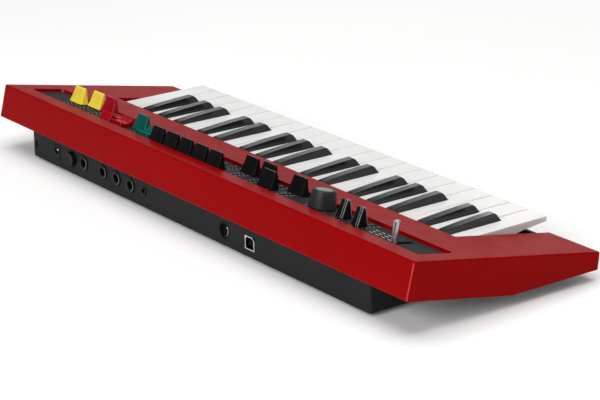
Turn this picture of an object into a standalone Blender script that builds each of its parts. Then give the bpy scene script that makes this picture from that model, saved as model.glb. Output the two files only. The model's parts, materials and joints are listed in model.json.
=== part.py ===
"""Combo organ with 37 small keys, modelled at rest in metres, +Z up.

X runs along the keyboard towards the player's right, Y from the player to the rear.
The origin is under the middle of the instrument, at the bottom of its feet.
"""

import math

import bmesh
import bpy
from mathutils import Matrix, Vector

MM = 0.001

# Keyboard: the front edge and the top of the white keys place everything else.
KEY_FRONT_Y = -83.67 * MM
KEY_TOP_Z = 33.1 * MM
KEY_PITCH = 19.46 * MM
WHITE_COUNT = 22
KEY_GAP = 0.76 * MM
WHITE_DROP = 12.0 * MM
BLACK_WIDTH = 8.0 * MM
BLACK_TOP_WIDTH = 6.7 * MM
BLACK_HEIGHT = 5.8 * MM
BLACK_FRONT = 31.7 * MM
BLACK_DROP = 10.0 * MM
# A black key's top falls from its crest to the rear, by a slope and a bend (per metre).
BLACK_CREST = 38.0 * MM
BLACK_FALL = 0.035
BLACK_BEND = 0.75
BLACK_TOP_YS = (48.0 * MM, 56.0 * MM, 64.0 * MM, 72.0 * MM, 80.0 * MM)
BLACK_TAIL = ((83.5 * MM, 2.4 * MM), (86.0 * MM, 1.2 * MM), (106.0 * MM, 0.0))
NOTCH_GAP = 0.7 * MM
# Middle of each black key of an octave, to the right of the joint between its two white keys.
BLACK_SHIFTS = (-1.46 * MM, 1.68 * MM, -3.04 * MM, 0.3 * MM, 2.94 * MM)
PIVOT_Y = 118.0 * MM
PIVOT_Z = -6.5 * MM
PIVOT_RADIUS = 2.4 * MM
KEY_WALL = 1.3 * MM
KEY_TAIL = 12.0 * MM
SKIRT_FRONT = 40.0 * MM
SKIRT_REAR = 97.0 * MM
TAIL_UNDER = -8.5 * MM
HOLLOW_TOP = 1.5 * MM
HOLLOW_FRONT = 41.5 * MM
BOSS_STEPS = 4
SINGLE_OCTAVES = 2
BLACKS_IN_OCTAVE = 5
KEY_FIRST_X = -WHITE_COUNT * KEY_PITCH / 2
OCTAVE = 7 * KEY_PITCH
NOTCH_FRONT = BLACK_FRONT - NOTCH_GAP
KEY_END = PIVOT_Y + PIVOT_RADIUS + KEY_TAIL
LIP_CLEAR = 0.4 * MM
CHANNEL_LIP = -6.6 * MM
CHANNEL_REAR = 121.4 * MM
WHITE_BAR = (122.0 * MM, 124.5 * MM)
BLACK_BAR = (125.5 * MM, 128.0 * MM)
HOOK_LOW = CHANNEL_LIP + LIP_CLEAR
HOOK_HIGH = HOOK_LOW + 1.6 * MM

# Clearances: between fixed pieces, and between pieces that move on each other.
FIT_GAP = 0.3 * MM
RUN_GAP = 0.35 * MM

# Solids that are joined into one run this far into each other.
BOND = 0.5 * MM

# Cutters run this far past the object on its open sides.
FAR = 60.0 * MM
NEAR = 20.0 * MM

# Upper case: a sloping top between upright ends, drawn from the side.
CHEEK_CLEAR = 0.94 * MM
WING_WIDTH = 50.0 * MM
CHEEK_INNER = WHITE_COUNT * KEY_PITCH / 2 + CHEEK_CLEAR
CASE_HALF_WIDTH = CHEEK_INNER + WING_WIDTH
WING_MIDDLE = CHEEK_INNER + WING_WIDTH / 2
CASE_FRONT_TOP = (-1.5 * MM, -12.4 * MM)
CASE_REAR_TOP = (162.4 * MM, 18.9 * MM)
CASE_REAR_BOTTOM = (169.0 * MM, -7.4 * MM)
CASE_KINK = (79.3 * MM, -24.8 * MM)
CASE_FRONT_BOTTOM = (0.0, -25.2 * MM)
CASE_WALL = 2.5 * MM
CASE_TOP_THICKNESS = 3.0 * MM
CASE_EDGE_RADIUS = 1.2 * MM
BAY_REAR_Y = 86.0 * MM
BAY_LIP_THICKNESS = 2.2 * MM
BAY_LIP_LENGTH = 14.0 * MM
FLANGE_THICKNESS = 2.0 * MM
SCREW_YS = (22.0 * MM, 104.0 * MM)
BOSS_RADIUS = 3.5 * MM
BOSS_PILOT = 1.2 * MM
BOSS_PILOT_DEPTH = 14.0 * MM
SCREW_HOLE = 1.7 * MM
SLOPE = math.atan2(
    CASE_REAR_TOP[1] - CASE_FRONT_TOP[1], CASE_REAR_TOP[0] - CASE_FRONT_TOP[0]
)

# Key frame under the keys.
FRAME_CLEAR = 2.0 * MM
FRAME_HALF = CHEEK_INNER - FRAME_CLEAR
FRAME_FRONT = 12.0 * MM
FRAME_TOP = -19.0 * MM
# The keys' skirts swing back towards the shelf when they are pressed.
SKIRT_SWING = 3.2 * MM
SHELF_FRONT = SKIRT_REAR + SKIRT_SWING
SHELF_TOP = -10.4 * MM
FRAME_PLATE = 2.0 * MM
STOP_RAIL = (32.0 * MM, 38.0 * MM, -13.9 * MM)
FIN_WIDTH = 3.0 * MM
FIN_TOP = -5.5 * MM
FRAME_RIB_YS = (20.0 * MM, 60.0 * MM, 95.0 * MM)
FIN_YS = (72.0 * MM, 78.0 * MM)

# Recess in the sloping top, measured along the slope from the white keys' front edge.
RECESS_LEFT_MARGIN = 14.7 * MM
RECESS_RIGHT_MARGIN = 17.0 * MM
RECESS_LEFT = RECESS_LEFT_MARGIN - CASE_HALF_WIDTH
RECESS_RIGHT = CASE_HALF_WIDTH - RECESS_RIGHT_MARGIN
RECESS_FRONT = 119.8 * MM
RECESS_REAR = 149.8 * MM
RECESS_RADIUS = 3.0 * MM
PANEL_THICKNESS = 2.0 * MM
PANEL_MARGIN = 3.3 * MM
BOARD_THICKNESS = 1.6 * MM
POT_HEIGHT = 7.2 * MM
POT_GAP = 0.4 * MM
POT_WIDTH = 9.0 * MM
POT_END = 2.5 * MM
BOARD_FRONT = 123.0 * MM
PANEL_POST_RADIUS = 2.2 * MM
PANEL_POSTS_RIGHT = (225.0 * MM, 176.6 * MM, 157.2 * MM, 113.9 * MM, 74.7 * MM, 17.0 * MM)
PANEL_POSTS_LEFT = (-40.6 * MM, -106.0 * MM, -164.0 * MM, -195.0 * MM, -238.0 * MM)
PANEL_TOP = -PANEL_MARGIN
PANEL_FIELD = -2.4 * MM
PANEL_UNDER = PANEL_TOP - PANEL_THICKNESS
BOARD_TOP = PANEL_UNDER - POT_GAP - POT_HEIGHT

# Lower case: a flat tub under the upper case, with a shallow floor in each wing.
TUB_STEP = 7.2 * MM
TUB_END_RADIUS = 3.2 * MM
TUB_HALF_WIDTH = CHEEK_INNER + TUB_STEP
TUB_FRONT = 5.6 * MM
REAR_OVERHANG = 5.7 * MM
TUB_REAR = CASE_REAR_BOTTOM[0] - REAR_OVERHANG
TUB_BOTTOM = -31.1 * MM
TUB_WALL = 2.8 * MM
TUB_FLOOR = 2.5 * MM
RAIL_TOP = -13.0 * MM
WING_FLOOR = 2.4 * MM
FOOT_HEIGHT = 2.0 * MM
FOOT_RADIUS = 6.0 * MM
FOOT_WELL = 0.8 * MM
FOOT_INSET = 32.2 * MM
FOOT_FRONT_INSET = 16.4 * MM
FOOT_REAR_INSET = 15.3 * MM
FOOT_X = TUB_HALF_WIDTH - FOOT_INSET
FOOT_YS = (TUB_FRONT + FOOT_FRONT_INSET, TUB_REAR - FOOT_REAR_INSET)

# Battery bay in the tub's floor, for six AA cells in two rows.
BAY_CELLS_LENGTH = 155.0 * MM
BAY_CELLS_WIDTH = 31.0 * MM
BAY_CELLS_HEIGHT = 16.5 * MM
BAY_SHELL = 1.5 * MM
BAY_GAP = 0.6 * MM
JACK_BOARD_DEPTH = 25.7 * MM
JACK_BOARD_FRONT = TUB_REAR - JACK_BOARD_DEPTH
BAY_CELLS_FRONT = JACK_BOARD_FRONT - BAY_GAP - BAY_SHELL - BAY_CELLS_WIDTH
DOOR_THICKNESS = 1.8 * MM
DOOR_LEDGE = 2.5 * MM

# Sockets on the rear wall: distance from the middle and height.
JACKS = (
    (141.9 * MM, -18.1 * MM),
    (113.6 * MM, -18.0 * MM),
    (93.7 * MM, -18.2 * MM),
    (73.9 * MM, -18.4 * MM),
)
JACK_RADIUS = 5.9 * MM
JACK_BORE = 3.3 * MM
JACK_DEPTH = 21.0 * MM
JACK_BODY = 13.0 * MM
MINI_JACK = (55.2 * MM, -18.3 * MM)
MINI_RADIUS = 3.6 * MM
MINI_BORE = 1.8 * MM
POWER_INLET = (183.5 * MM, -17.6 * MM)
INLET_RADIUS = 3.25 * MM
INLET_PIN = 1.0 * MM
DIN_SOCKET = (-51.6 * MM, -19.7 * MM)
DIN_RADIUS = 6.4 * MM
PIN_CIRCLE = 3.1 * MM
DATA_SOCKET = (-83.2 * MM, -20.6 * MM)
DATA_WIDTH = 12.0 * MM
DATA_HEIGHT = 10.8 * MM
DATA_BORE = (9.0 * MM, 8.2 * MM)
DATA_TONGUE = (5.6 * MM, 3.2 * MM)
LOCK_SLOT = (215.8 * MM, -20.5 * MM)
LOCK_SIZE = (3.0 * MM, 6.6 * MM)
POWER_BUTTON = (160.0 * MM, -18.9 * MM)
BUTTON_RADIUS = 5.4 * MM
BUTTON_RING = 7.5 * MM
BUTTON_PROUD = 3.0 * MM
BUTTON_RING_DEPTH = 0.8 * MM
BUTTON_TRAVEL = 2.0 * MM
BUTTON_FLANGE = 2.0 * MM
SWITCH_REAR = TUB_REAR - TUB_WALL - 3 * FIT_GAP - BUTTON_FLANGE - BUTTON_TRAVEL
JACK_BOARD_TOP = -25.8 * MM
# Bodies behind the rear wall: half width, depth, and height above the socket's middle.
MINI_BODY = (4.2 * MM, 12.0 * MM, 4.2 * MM)
INLET_BODY = (4.6 * MM, 13.0 * MM, 5.0 * MM)
DIN_BODY = (7.0 * MM, 12.0 * MM, 7.0 * MM)
DATA_BODY = (6.6 * MM, 14.0 * MM, 6.0 * MM)
SWITCH_BODY = (6.5 * MM, 11.0 * MM, 6.0 * MM)
BODY_SINK = 0.4 * MM
BOARD_POSTS = (-95.0 * MM, -20.0 * MM, 35.0 * MM, 125.0 * MM, 172.0 * MM)
POST_HALF = 3.0 * MM

# Sliding caps on the panel.
CAP_WIDTH = 17.8 * MM
CAP_LENGTH = 8.2 * MM
CAP_TOP_WIDTH = 14.8 * MM
CAP_TOP_LENGTH = 2.6 * MM
CAP_HEIGHT = 12.7 * MM
CAP_LEAN = -0.4 * MM
CAP_EDGE = 0.8 * MM
CAP_BASE = -1.8 * MM
CAP_FRONT_STOP = 124.4 * MM
CAP_REAR_STOP = 145.4 * MM
DRAWBAR_PITCH = 19.2 * MM
DRAWBAR_RIGHT = 65.0 * MM
DRAWBAR_PLACES = (
    CAP_REAR_STOP,
    CAP_REAR_STOP,
    CAP_REAR_STOP,
    CAP_REAR_STOP,
    CAP_REAR_STOP,
    126.5 * MM,
    124.8 * MM,
    139.0 * MM,
    126.0 * MM,
)
GREEN_SLIDER = (105.1 * MM, 133.8 * MM)
RED_SLIDER = (167.1 * MM, CAP_FRONT_STOP)
YELLOW_SLIDERS = ((205.3 * MM, 129.8 * MM), (186.1 * MM, CAP_FRONT_STOP))
OCTAVE_SLIDER = (-174.0 * MM, 138.4 * MM)
VOLUME_SLIDER = (-153.7 * MM, 135.9 * MM)
RIBBED_WIDTH = 9.0 * MM
RIBBED_LENGTH = 8.5 * MM
RIBBED_TOP_WIDTH = 7.5 * MM
RIBBED_HEIGHT = 13.4 * MM
STEM_WIDTH = 1.4 * MM
STEM_LENGTH = 4.0 * MM
STEM_REACH = 4.0 * MM
SLOT_FRONT = CAP_FRONT_STOP - STEM_LENGTH / 2 - RUN_GAP
SLOT_REAR = CAP_REAR_STOP + STEM_LENGTH / 2 + RUN_GAP
SLOT_HALF = STEM_WIDTH / 2 + RUN_GAP

# Rockers, knob and lever.
ROCKER_PIVOT = (137.5 * MM, -7.2 * MM)
ROCKER_WIDTH = 14.4 * MM
ROCKER_TILT = math.radians(12.0)
ROCKER_HALF_TOP = 5.5 * MM
ROCKER_HALF_BASE = 7.9 * MM
ROCKER_TOP = 10.6 * MM
ROCKER_MIDDLE = 8.4 * MM
ROCKER_BASE = 2.7 * MM
ROCKER_HUB = 1.9 * MM
ROCKER_HUB_WIDTH = 9.0 * MM
ROCKER_PIN = 1.0 * MM
ROCKER_PIN_LENGTH = 12.6 * MM
SWITCH_TOP = ROCKER_PIVOT[1] - ROCKER_HUB - 0.5 * MM
SWITCH_HALF_LENGTH = 8.0 * MM
EAR_INSET = 0.4 * MM
EAR_HALF_LENGTH = 2.4 * MM
EAR_RISE = 1.2 * MM
ROCKERS = (
    ("percussion_rocker_1", 144.7 * MM, 1, "red_cap"),
    ("percussion_rocker_2", 125.5 * MM, -1, "red_cap"),
    ("vibrato_rocker", 88.0 * MM, -1, "green_cap"),
)
KNOB_PLACE = (-127.0 * MM, 134.0 * MM)
KNOB_FOOT = (10.0 * MM, -2.0 * MM)
KNOB_SHOULDER = (9.2 * MM, 9.5 * MM)
KNOB_RIM = (8.6 * MM, 11.5 * MM)
KNOB_EDGE = 0.5 * MM
KNOB_SHAFT = 3.0 * MM
KNOB_POT_HALF = 8.0 * MM
LEVER_X = -216.0 * MM
LEVER_FRONT = 128.0 * MM
LEVER_REAR = 142.0 * MM
LEVER_RADIUS = 2.3 * MM
LEVER_TOP = 14.0 * MM

# Loudspeakers in the wings.
SPEAKER_X = WING_MIDDLE
SPEAKER_Y = 60.0 * MM
SPEAKER_RADIUS = 16.0 * MM
SPEAKER_DEPTH = 7.5 * MM
GRILLE_SLOTS = 7
GRILLE_PITCH = 3.4 * MM
GRILLE_SLOT = (24.0 * MM, 1.6 * MM)

WHITE_LETTERS = "cdefgab"
BLACK_LETTERS = ("c_sharp", "d_sharp", "f_sharp", "g_sharp", "a_sharp")
BLACK_AFTER_WHITE = (0, 1, 3, 4, 5)
COLOURS = {
    "red_plastic": ((0.36, 0.003, 0.006, 1.0), 0.35),
    "black_plastic": ((0.022, 0.023, 0.025, 1.0), 0.55),
    "panel_plastic": ((0.045, 0.048, 0.048, 1.0), 0.5),
    "white_key": ((0.83, 0.83, 0.81, 1.0), 0.25),
    "black_key": ((0.02, 0.02, 0.02, 1.0), 0.35),
    "black_cap": ((0.01, 0.01, 0.01, 1.0), 0.35),
    "yellow_cap": ((0.8, 0.56, 0.04, 1.0), 0.35),
    "green_cap": ((0.0, 0.09, 0.075, 1.0), 0.25),
    "red_cap": ((0.36, 0.0, 0.008, 1.0), 0.25),
    "steel": ((0.7, 0.7, 0.72, 1.0), 0.15),
    "board": ((0.02, 0.12, 0.05, 1.0), 0.5),
    "grey_plastic": ((0.25, 0.25, 0.26, 1.0), 0.6),
    "paper": ((0.02, 0.02, 0.02, 1.0), 0.8),
    "rubber": ((0.03, 0.03, 0.03, 1.0), 0.9),
}


def clear_scene():
    for thing in list(bpy.data.objects):
        bpy.data.objects.remove(thing, do_unlink=True)


def new_collection(name):
    collection = bpy.data.collections.new(name)
    bpy.context.scene.collection.children.link(collection)
    return collection


clear_scene()
ORGAN = new_collection("combo_organ")
CUTTERS = new_collection("cutters")


def place(y, z):
    """World Y and Z of a point measured from the white keys' front edge and top."""
    return y + KEY_FRONT_Y, z + KEY_TOP_Z


def case_top(y):
    """Height of the sloping top at y, from the white keys' top."""
    return CASE_FRONT_TOP[1] + (y - CASE_FRONT_TOP[0]) * math.tan(SLOPE)


SLOPE_FOOT = case_top(0.0)


def panel_point(t, n):
    """Y and Z, in the keys' measure, of a point t along the slope and n above the sloping top."""
    y = t * math.cos(SLOPE) - n * math.sin(SLOPE)
    z = SLOPE_FOOT + t * math.sin(SLOPE) + n * math.cos(SLOPE)
    return y, z


def panel_matrix(x, t, n):
    """Frame on the slope: its X is world X, its Y runs up the slope, its Z stands off the panel."""
    y, z = place(*panel_point(t, n))
    return Matrix.Translation((x, y, z)) @ Matrix.Rotation(SLOPE, 4, "X")


def material(name):
    made = bpy.data.materials.get(name)
    if made is None:
        made = bpy.data.materials.new(name)
        made.use_nodes = True
        colour, roughness = COLOURS[name]
        shader = made.node_tree.nodes["Principled BSDF"]
        shader.inputs["Base Color"].default_value = colour
        shader.inputs["Roughness"].default_value = roughness
        shader.inputs["Metallic"].default_value = 1.0 if name == "steel" else 0.0
        made.diffuse_color = colour
    return made


def smooth(mesh):
    mesh.shade_smooth()
    mesh.set_sharp_from_angle(angle=math.radians(35))


def add_object(name, mesh, look=None, matrix=None):
    """A part when it has a look, and a hidden helper when it has none."""
    made = bpy.data.objects.new(name, mesh)
    if look:
        mesh.materials.append(material(look))
        ORGAN.objects.link(made)
    else:
        made.hide_render = True
        made.display_type = "WIRE"
        CUTTERS.objects.link(made)
    if matrix is not None:
        made.matrix_world = matrix
    return made


def mesh_from(name, fill):
    mesh = bpy.data.meshes.new(name)
    shape = bmesh.new()
    fill(shape)
    bmesh.ops.recalc_face_normals(shape, faces=shape.faces)
    shape.to_mesh(mesh)
    shape.free()
    return mesh


def add_box(shape, low, high, matrix=None):
    """A box between two corners, added to a bmesh."""
    size = [high[i] - low[i] for i in range(3)]
    middle = [(high[i] + low[i]) / 2 for i in range(3)]
    local = Matrix.Translation(middle) @ Matrix.Diagonal((*size, 1.0))
    bmesh.ops.create_cube(shape, size=1.0, matrix=(matrix or Matrix()) @ local)


def add_rod(shape, radius, low, high, sides=24, matrix=None, end_radius=None):
    """A round rod from the point low to the point high, added to a bmesh."""
    low = Vector(low)
    high = Vector(high)
    along = high - low
    turn = along.to_track_quat("Z", "Y").to_matrix().to_4x4()
    local = Matrix.Translation((low + high) / 2) @ turn
    bmesh.ops.create_cone(
        shape,
        cap_ends=True,
        segments=sides,
        radius1=radius,
        radius2=radius if end_radius is None else end_radius,
        depth=along.length,
        matrix=(matrix or Matrix()) @ local,
    )


def world_box(shape, low, high):
    """A box whose Y and Z are in the keys' measure."""
    y_low, z_low = place(low[1], low[2])
    y_high, z_high = place(high[1], high[2])
    add_box(shape, (low[0], y_low, z_low), (high[0], y_high, z_high))


def extruded(name, points, low, high, look=None, axis="X"):
    """A flat outline pushed from low to high along an axis: (y, z) points along X, (x, y) along Z."""
    curve = bpy.data.curves.new(name, "CURVE")
    curve.dimensions = "2D"
    curve.fill_mode = "BOTH"
    curve.extrude = (high - low) / 2
    line = curve.splines.new("POLY")
    line.points.add(len(points) - 1)
    for point, (u, v) in zip(line.points, points):
        point.co = (u, v, 0.0, 1.0)
    line.use_cyclic_u = True
    helper = bpy.data.objects.new(name, curve)
    CUTTERS.objects.link(helper)
    y, z = place(0.0, 0.0)
    middle = (low + high) / 2
    if axis == "X":
        turn = Matrix(((0, 0, 1, middle), (1, 0, 0, y), (0, 1, 0, z), (0, 0, 0, 1)))
    else:
        turn = Matrix.Translation((0.0, y, z + middle))
    bpy.context.view_layer.update()
    evaluated = helper.evaluated_get(bpy.context.evaluated_depsgraph_get())
    mesh = bpy.data.meshes.new_from_object(evaluated)
    mesh.name = name
    mesh.transform(turn)
    shape = bmesh.new()
    shape.from_mesh(mesh)
    bmesh.ops.remove_doubles(shape, verts=shape.verts, dist=0.000001)
    bmesh.ops.recalc_face_normals(shape, faces=shape.faces)
    shape.to_mesh(mesh)
    shape.free()
    bpy.data.objects.remove(helper, do_unlink=True)
    bpy.data.curves.remove(curve)
    mesh.materials.clear()
    return add_object(name, mesh, look)


def boolean(part, helper, operation):
    modifier = part.modifiers.new(operation.lower() + "_" + helper.name, "BOOLEAN")
    modifier.operation = operation
    modifier.object = helper
    modifier.solver = "EXACT"
    return modifier


def cut(part, *helpers):
    for helper in helpers:
        boolean(part, helper, "DIFFERENCE")


def join(part, *helpers):
    for helper in helpers:
        boolean(part, helper, "UNION")


def bevel(part, width, segments=1, angle=40.0):
    modifier = part.modifiers.new("edge", "BEVEL")
    modifier.width = width
    modifier.segments = segments
    modifier.limit_method = "ANGLE"
    modifier.angle_limit = math.radians(angle)
    return modifier


def helper_of(name, fill):
    return add_object(name, mesh_from(name, fill))


def round_edges(part, chosen, width, segments):
    """Rounds the edges that a test of their two ends picks out."""
    mesh = part.data
    weights = mesh.attributes.new("bevel_weight_edge", "FLOAT", "EDGE")
    for edge in mesh.edges:
        first, second = (mesh.vertices[index].co for index in edge.vertices)
        weights.data[edge.index].value = 1.0 if chosen(first, second) else 0.0
    bevel(part, width, segments).limit_method = "WEIGHT"


def baked(part):
    """The part's modifiers turned into its mesh, so that later steps start from one plain body."""
    bpy.context.view_layer.update()
    evaluated = part.evaluated_get(bpy.context.evaluated_depsgraph_get())
    mesh = bpy.data.meshes.new_from_object(evaluated)
    part.modifiers.clear()
    part.data = mesh
    return part


def set_origin(part, point):
    """Moves a part's origin to a world point and leaves its shape where it is."""
    part.data.transform(Matrix.Translation(point).inverted() @ part.matrix_world)
    part.matrix_world = Matrix.Translation(point)


def offset_line(start, end, distance):
    """The line through two (y, z) points, moved to its right by distance."""
    along = Vector((end[0] - start[0], end[1] - start[1])).normalized()
    right = Vector((along.y, -along.x)) * distance
    return Vector(start) + right, Vector(end) + right


def meet(first, second):
    """The (y, z) point where two lines meet."""
    (a, b), (c, d) = first, second
    r = b - a
    s = d - c
    share = ((c - a).x * s.y - (c - a).y * s.x) / (r.x * s.y - r.y * s.x)
    return tuple(a + r * share)


# Upper case


def case_cavity():
    """Side outline of the hollow under the sloping top, open at the bottom."""
    front = offset_line(CASE_FRONT_BOTTOM, CASE_FRONT_TOP, CASE_WALL)
    top = offset_line(CASE_FRONT_TOP, CASE_REAR_TOP, CASE_TOP_THICKNESS)
    rear = offset_line(CASE_REAR_TOP, CASE_REAR_BOTTOM, CASE_WALL)
    flange_top = CASE_REAR_BOTTOM[1] + FLANGE_THICKNESS
    flange = (Vector((0.0, flange_top)), Vector((1.0, flange_top)))
    flange_front = TUB_REAR + FIT_GAP
    below = TUB_BOTTOM - CASE_WALL
    front_low = front[0].x
    return [
        (front_low, below),
        (front_low, front[0].y),
        meet(front, top),
        meet(top, rear),
        meet(rear, flange),
        (flange_front, flange_top),
        (flange_front, below),
    ]


def rounded_rectangle(low, high, radius, steps=4):
    """Outline of a rectangle between two (x, y) corners with rounded corners."""
    points = []
    centres = (
        (high[0] - radius, high[1] - radius, 0.0),
        (low[0] + radius, high[1] - radius, 0.5),
        (low[0] + radius, low[1] + radius, 1.0),
        (high[0] - radius, low[1] + radius, 1.5),
    )
    for x, y, start in centres:
        for step in range(steps + 1):
            angle = math.pi * (start + 0.5 * step / steps)
            points.append((x + radius * math.cos(angle), y + radius * math.sin(angle)))
    return points


def panel_prism(name, points, low, high, look=None):
    """An outline in the panel's plane, given as (x, t), pushed between two heights off the slope."""
    made = extruded(name, points, low, high, look, axis="Z")
    y, z = place(0.0, 0.0)
    flat = Matrix.Translation((0.0, -y, -z))
    foot = Matrix.Translation((0.0, *place(0.0, SLOPE_FOOT)))
    made.data.transform(foot @ Matrix.Rotation(SLOPE, 4, "X") @ flat)
    return made


def wing_floor_height(y):
    """Height of the lower case's underside in the wings, which follows the upper case."""
    if y < CASE_KINK[0]:
        return CASE_FRONT_BOTTOM[1] + (CASE_KINK[1] - CASE_FRONT_BOTTOM[1]) * y / CASE_KINK[0]
    share = (y - CASE_KINK[0]) / (CASE_REAR_BOTTOM[0] - CASE_KINK[0])
    return CASE_KINK[1] + (CASE_REAR_BOTTOM[1] - CASE_KINK[1]) * share


def make_upper_case():
    profile = [CASE_FRONT_TOP, CASE_FRONT_BOTTOM, CASE_KINK, CASE_REAR_BOTTOM, CASE_REAR_TOP]
    case = extruded("upper_case", profile, -CASE_HALF_WIDTH, CASE_HALF_WIDTH, "red_plastic")
    bevel(case, CASE_EDGE_RADIUS, segments=2, angle=30.0)
    inner = CASE_HALF_WIDTH - CASE_WALL
    cheek = CHEEK_INNER + CASE_WALL
    rear_hollow = extruded("rear_hollow", case_cavity(), -inner, inner)
    keep_front = helper_of(
        "keep_front",
        lambda shape: world_box(
            shape,
            (-cheek, -NEAR, -FAR),
            (cheek, BAY_REAR_Y + BAY_LIP_LENGTH, FAR),
        ),
    )
    cut(rear_hollow, keep_front, helper_of("case_bosses", case_bosses))
    join(rear_hollow, helper_of("case_pilots", case_pilots))
    cut(case, rear_hollow)
    lip = []
    for y in (BAY_REAR_Y - CASE_WALL, BAY_REAR_Y + BAY_LIP_LENGTH + CASE_WALL):
        lip.append((y, case_top(y) - BAY_LIP_THICKNESS / math.cos(SLOPE)))
    lip += [(lip[1][0], TUB_BOTTOM), (lip[0][0], TUB_BOTTOM)]
    lip_hollow = extruded("lip_hollow", lip, -CHEEK_INNER, CHEEK_INNER)
    key_bay = helper_of(
        "key_bay",
        lambda shape: world_box(
            shape, (-CHEEK_INNER, -NEAR, -FAR), (CHEEK_INNER, BAY_REAR_Y, FAR)
        ),
    )
    outline = rounded_rectangle(
        (RECESS_LEFT, RECESS_FRONT), (RECESS_RIGHT, RECESS_REAR), RECESS_RADIUS
    )
    recess = panel_prism("recess", outline, -2 * CASE_TOP_THICKNESS, CASE_TOP_THICKNESS)
    cut(case, lip_hollow, key_bay, recess)
    return case


def case_bosses(shape):
    for side in (-1, 1):
        x = side * WING_MIDDLE
        for y in SCREW_YS:
            y_world, top = place(y, case_top(y) - CASE_TOP_THICKNESS / 2)
            low = place(y, wing_floor_height(y + BOSS_RADIUS) + WING_FLOOR + FIT_GAP)[1]
            add_rod(shape, BOSS_RADIUS, (x, y_world, low), (x, y_world, top), 12)


def case_pilots(shape):
    for side in (-1, 1):
        x = side * WING_MIDDLE
        for y in SCREW_YS:
            y_world, low = place(y, wing_floor_height(y))
            end = low + BOSS_PILOT_DEPTH
            add_rod(shape, BOSS_PILOT, (x, y_world, low), (x, y_world, end), 8)


make_upper_case()


# Lower case


def tub_side_outline():
    """Side wall of the tub: it rises behind with the wing floor and covers no red wall."""
    lift = WING_FLOOR + 1.5 * MM
    return [
        (TUB_FRONT, TUB_BOTTOM),
        (TUB_REAR, TUB_BOTTOM),
        (TUB_REAR, wing_floor_height(TUB_REAR) + lift),
        (CASE_KINK[0], CASE_KINK[1] + lift),
        (TUB_FRONT, CASE_FRONT_BOTTOM[1] + lift),
    ]


def wing_floor_outline():
    front = CASE_WALL + FIT_GAP
    points = [(front, wing_floor_height(front)), CASE_KINK]
    points.append((TUB_REAR, wing_floor_height(TUB_REAR)))
    upper = [(y, z + WING_FLOOR) for y, z in reversed(points)]
    return points + upper


def bay_low():
    return -BAY_CELLS_LENGTH / 2, BAY_CELLS_FRONT


def rear_rod(shape, spot, radius, front, rear, sides=24):
    """A round rod along Y at a socket's place, between two depths."""
    x, z = spot
    y_front, z_world = place(front, z)
    y_rear = place(rear, z)[0]
    add_rod(shape, radius, (x, y_front, z_world), (x, y_rear, z_world), sides)


def rear_holes(shape):
    inside = TUB_REAR - 2 * TUB_WALL
    outside = TUB_REAR + TUB_WALL
    for jack in JACKS:
        rear_rod(shape, jack, JACK_RADIUS + RUN_GAP, inside, outside, 20)
    rear_rod(shape, MINI_JACK, MINI_RADIUS + RUN_GAP, inside, outside, 16)
    rear_rod(shape, POWER_INLET, INLET_RADIUS, inside, outside, 16)
    rear_rod(shape, DIN_SOCKET, DIN_RADIUS + RUN_GAP, inside, outside, 20)
    rear_rod(shape, POWER_BUTTON, BUTTON_RADIUS + RUN_GAP, inside, outside, 20)
    half_width = DATA_WIDTH / 2 + RUN_GAP
    half_height = DATA_HEIGHT / 2 + RUN_GAP
    x, z = DATA_SOCKET
    world_box(
        shape,
        (x - half_width, inside, z - half_height),
        (x + half_width, outside, z + half_height),
    )
    x, z = LOCK_SLOT
    width, height = LOCK_SIZE
    world_box(
        shape,
        (x - width / 2, inside, z - height / 2),
        (x + width / 2, outside, z + height / 2),
    )


def ring_recess(shape):
    """Shallow ring round the power button."""
    low = TUB_REAR - BUTTON_RING_DEPTH
    rear_rod(shape, POWER_BUTTON, BUTTON_RING, low, TUB_REAR + BUTTON_RING_DEPTH, 24)


def grille(shape):
    """Rows of slots under both loudspeakers."""
    length, width = GRILLE_SLOT
    for side in (-1, 1):
        for row in range(GRILLE_SLOTS):
            y = SPEAKER_Y + (row - (GRILLE_SLOTS - 1) / 2) * GRILLE_PITCH
            x = side * SPEAKER_X
            world_box(
                shape,
                (x - length / 2, y - width / 2, CASE_FRONT_BOTTOM[1] - TUB_FLOOR),
                (x + length / 2, y + width / 2, CASE_KINK[1] + 2 * WING_FLOOR),
            )


def screw_ways(shape):
    """Screw holes through the wing floors, under the upper case's bosses."""
    for side in (-1, 1):
        x = side * WING_MIDDLE
        for y in SCREW_YS:
            y_world, low = place(y, wing_floor_height(y) - 2 * MM)
            high = low + 2 * MM + 2 * WING_FLOOR
            add_rod(shape, SCREW_HOLE, (x, y_world, low), (x, y_world, high), 10)


def foot_wells(shape):
    """Shallow wells that hold the feet."""
    for x in (-FOOT_X, FOOT_X):
        for y in FOOT_YS:
            y_world, low = place(y, TUB_BOTTOM - 1 * MM)
            high = low + 1 * MM + FOOT_WELL
            add_rod(shape, FOOT_RADIUS + FIT_GAP, (x, y_world, low), (x, y_world, high), 20)


def board_posts(shape):
    """Low posts on the tub's floor that carry the jack board."""
    for x in BOARD_POSTS:
        world_box(
            shape,
            (x - POST_HALF, JACK_BOARD_FRONT + 2 * MM, TUB_BOTTOM + TUB_FLOOR / 2),
            (x + POST_HALF, TUB_REAR - TUB_WALL / 2, JACK_BOARD_TOP - BOARD_THICKNESS - FIT_GAP),
        )


def tub_end_edge(first, second):
    """True for the bottom edge and the upright rear edge of either end of the tub."""
    near = 0.05 * MM
    rear, bottom = place(TUB_REAR, TUB_BOTTOM)
    if abs(abs(first.x) - TUB_HALF_WIDTH) > near or abs(first.x - second.x) > near:
        return False
    along_bottom = abs(first.z - bottom) < near and abs(second.z - bottom) < near
    along_rear = abs(first.y - rear) < near and abs(second.y - rear) < near
    return along_bottom or along_rear


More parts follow.
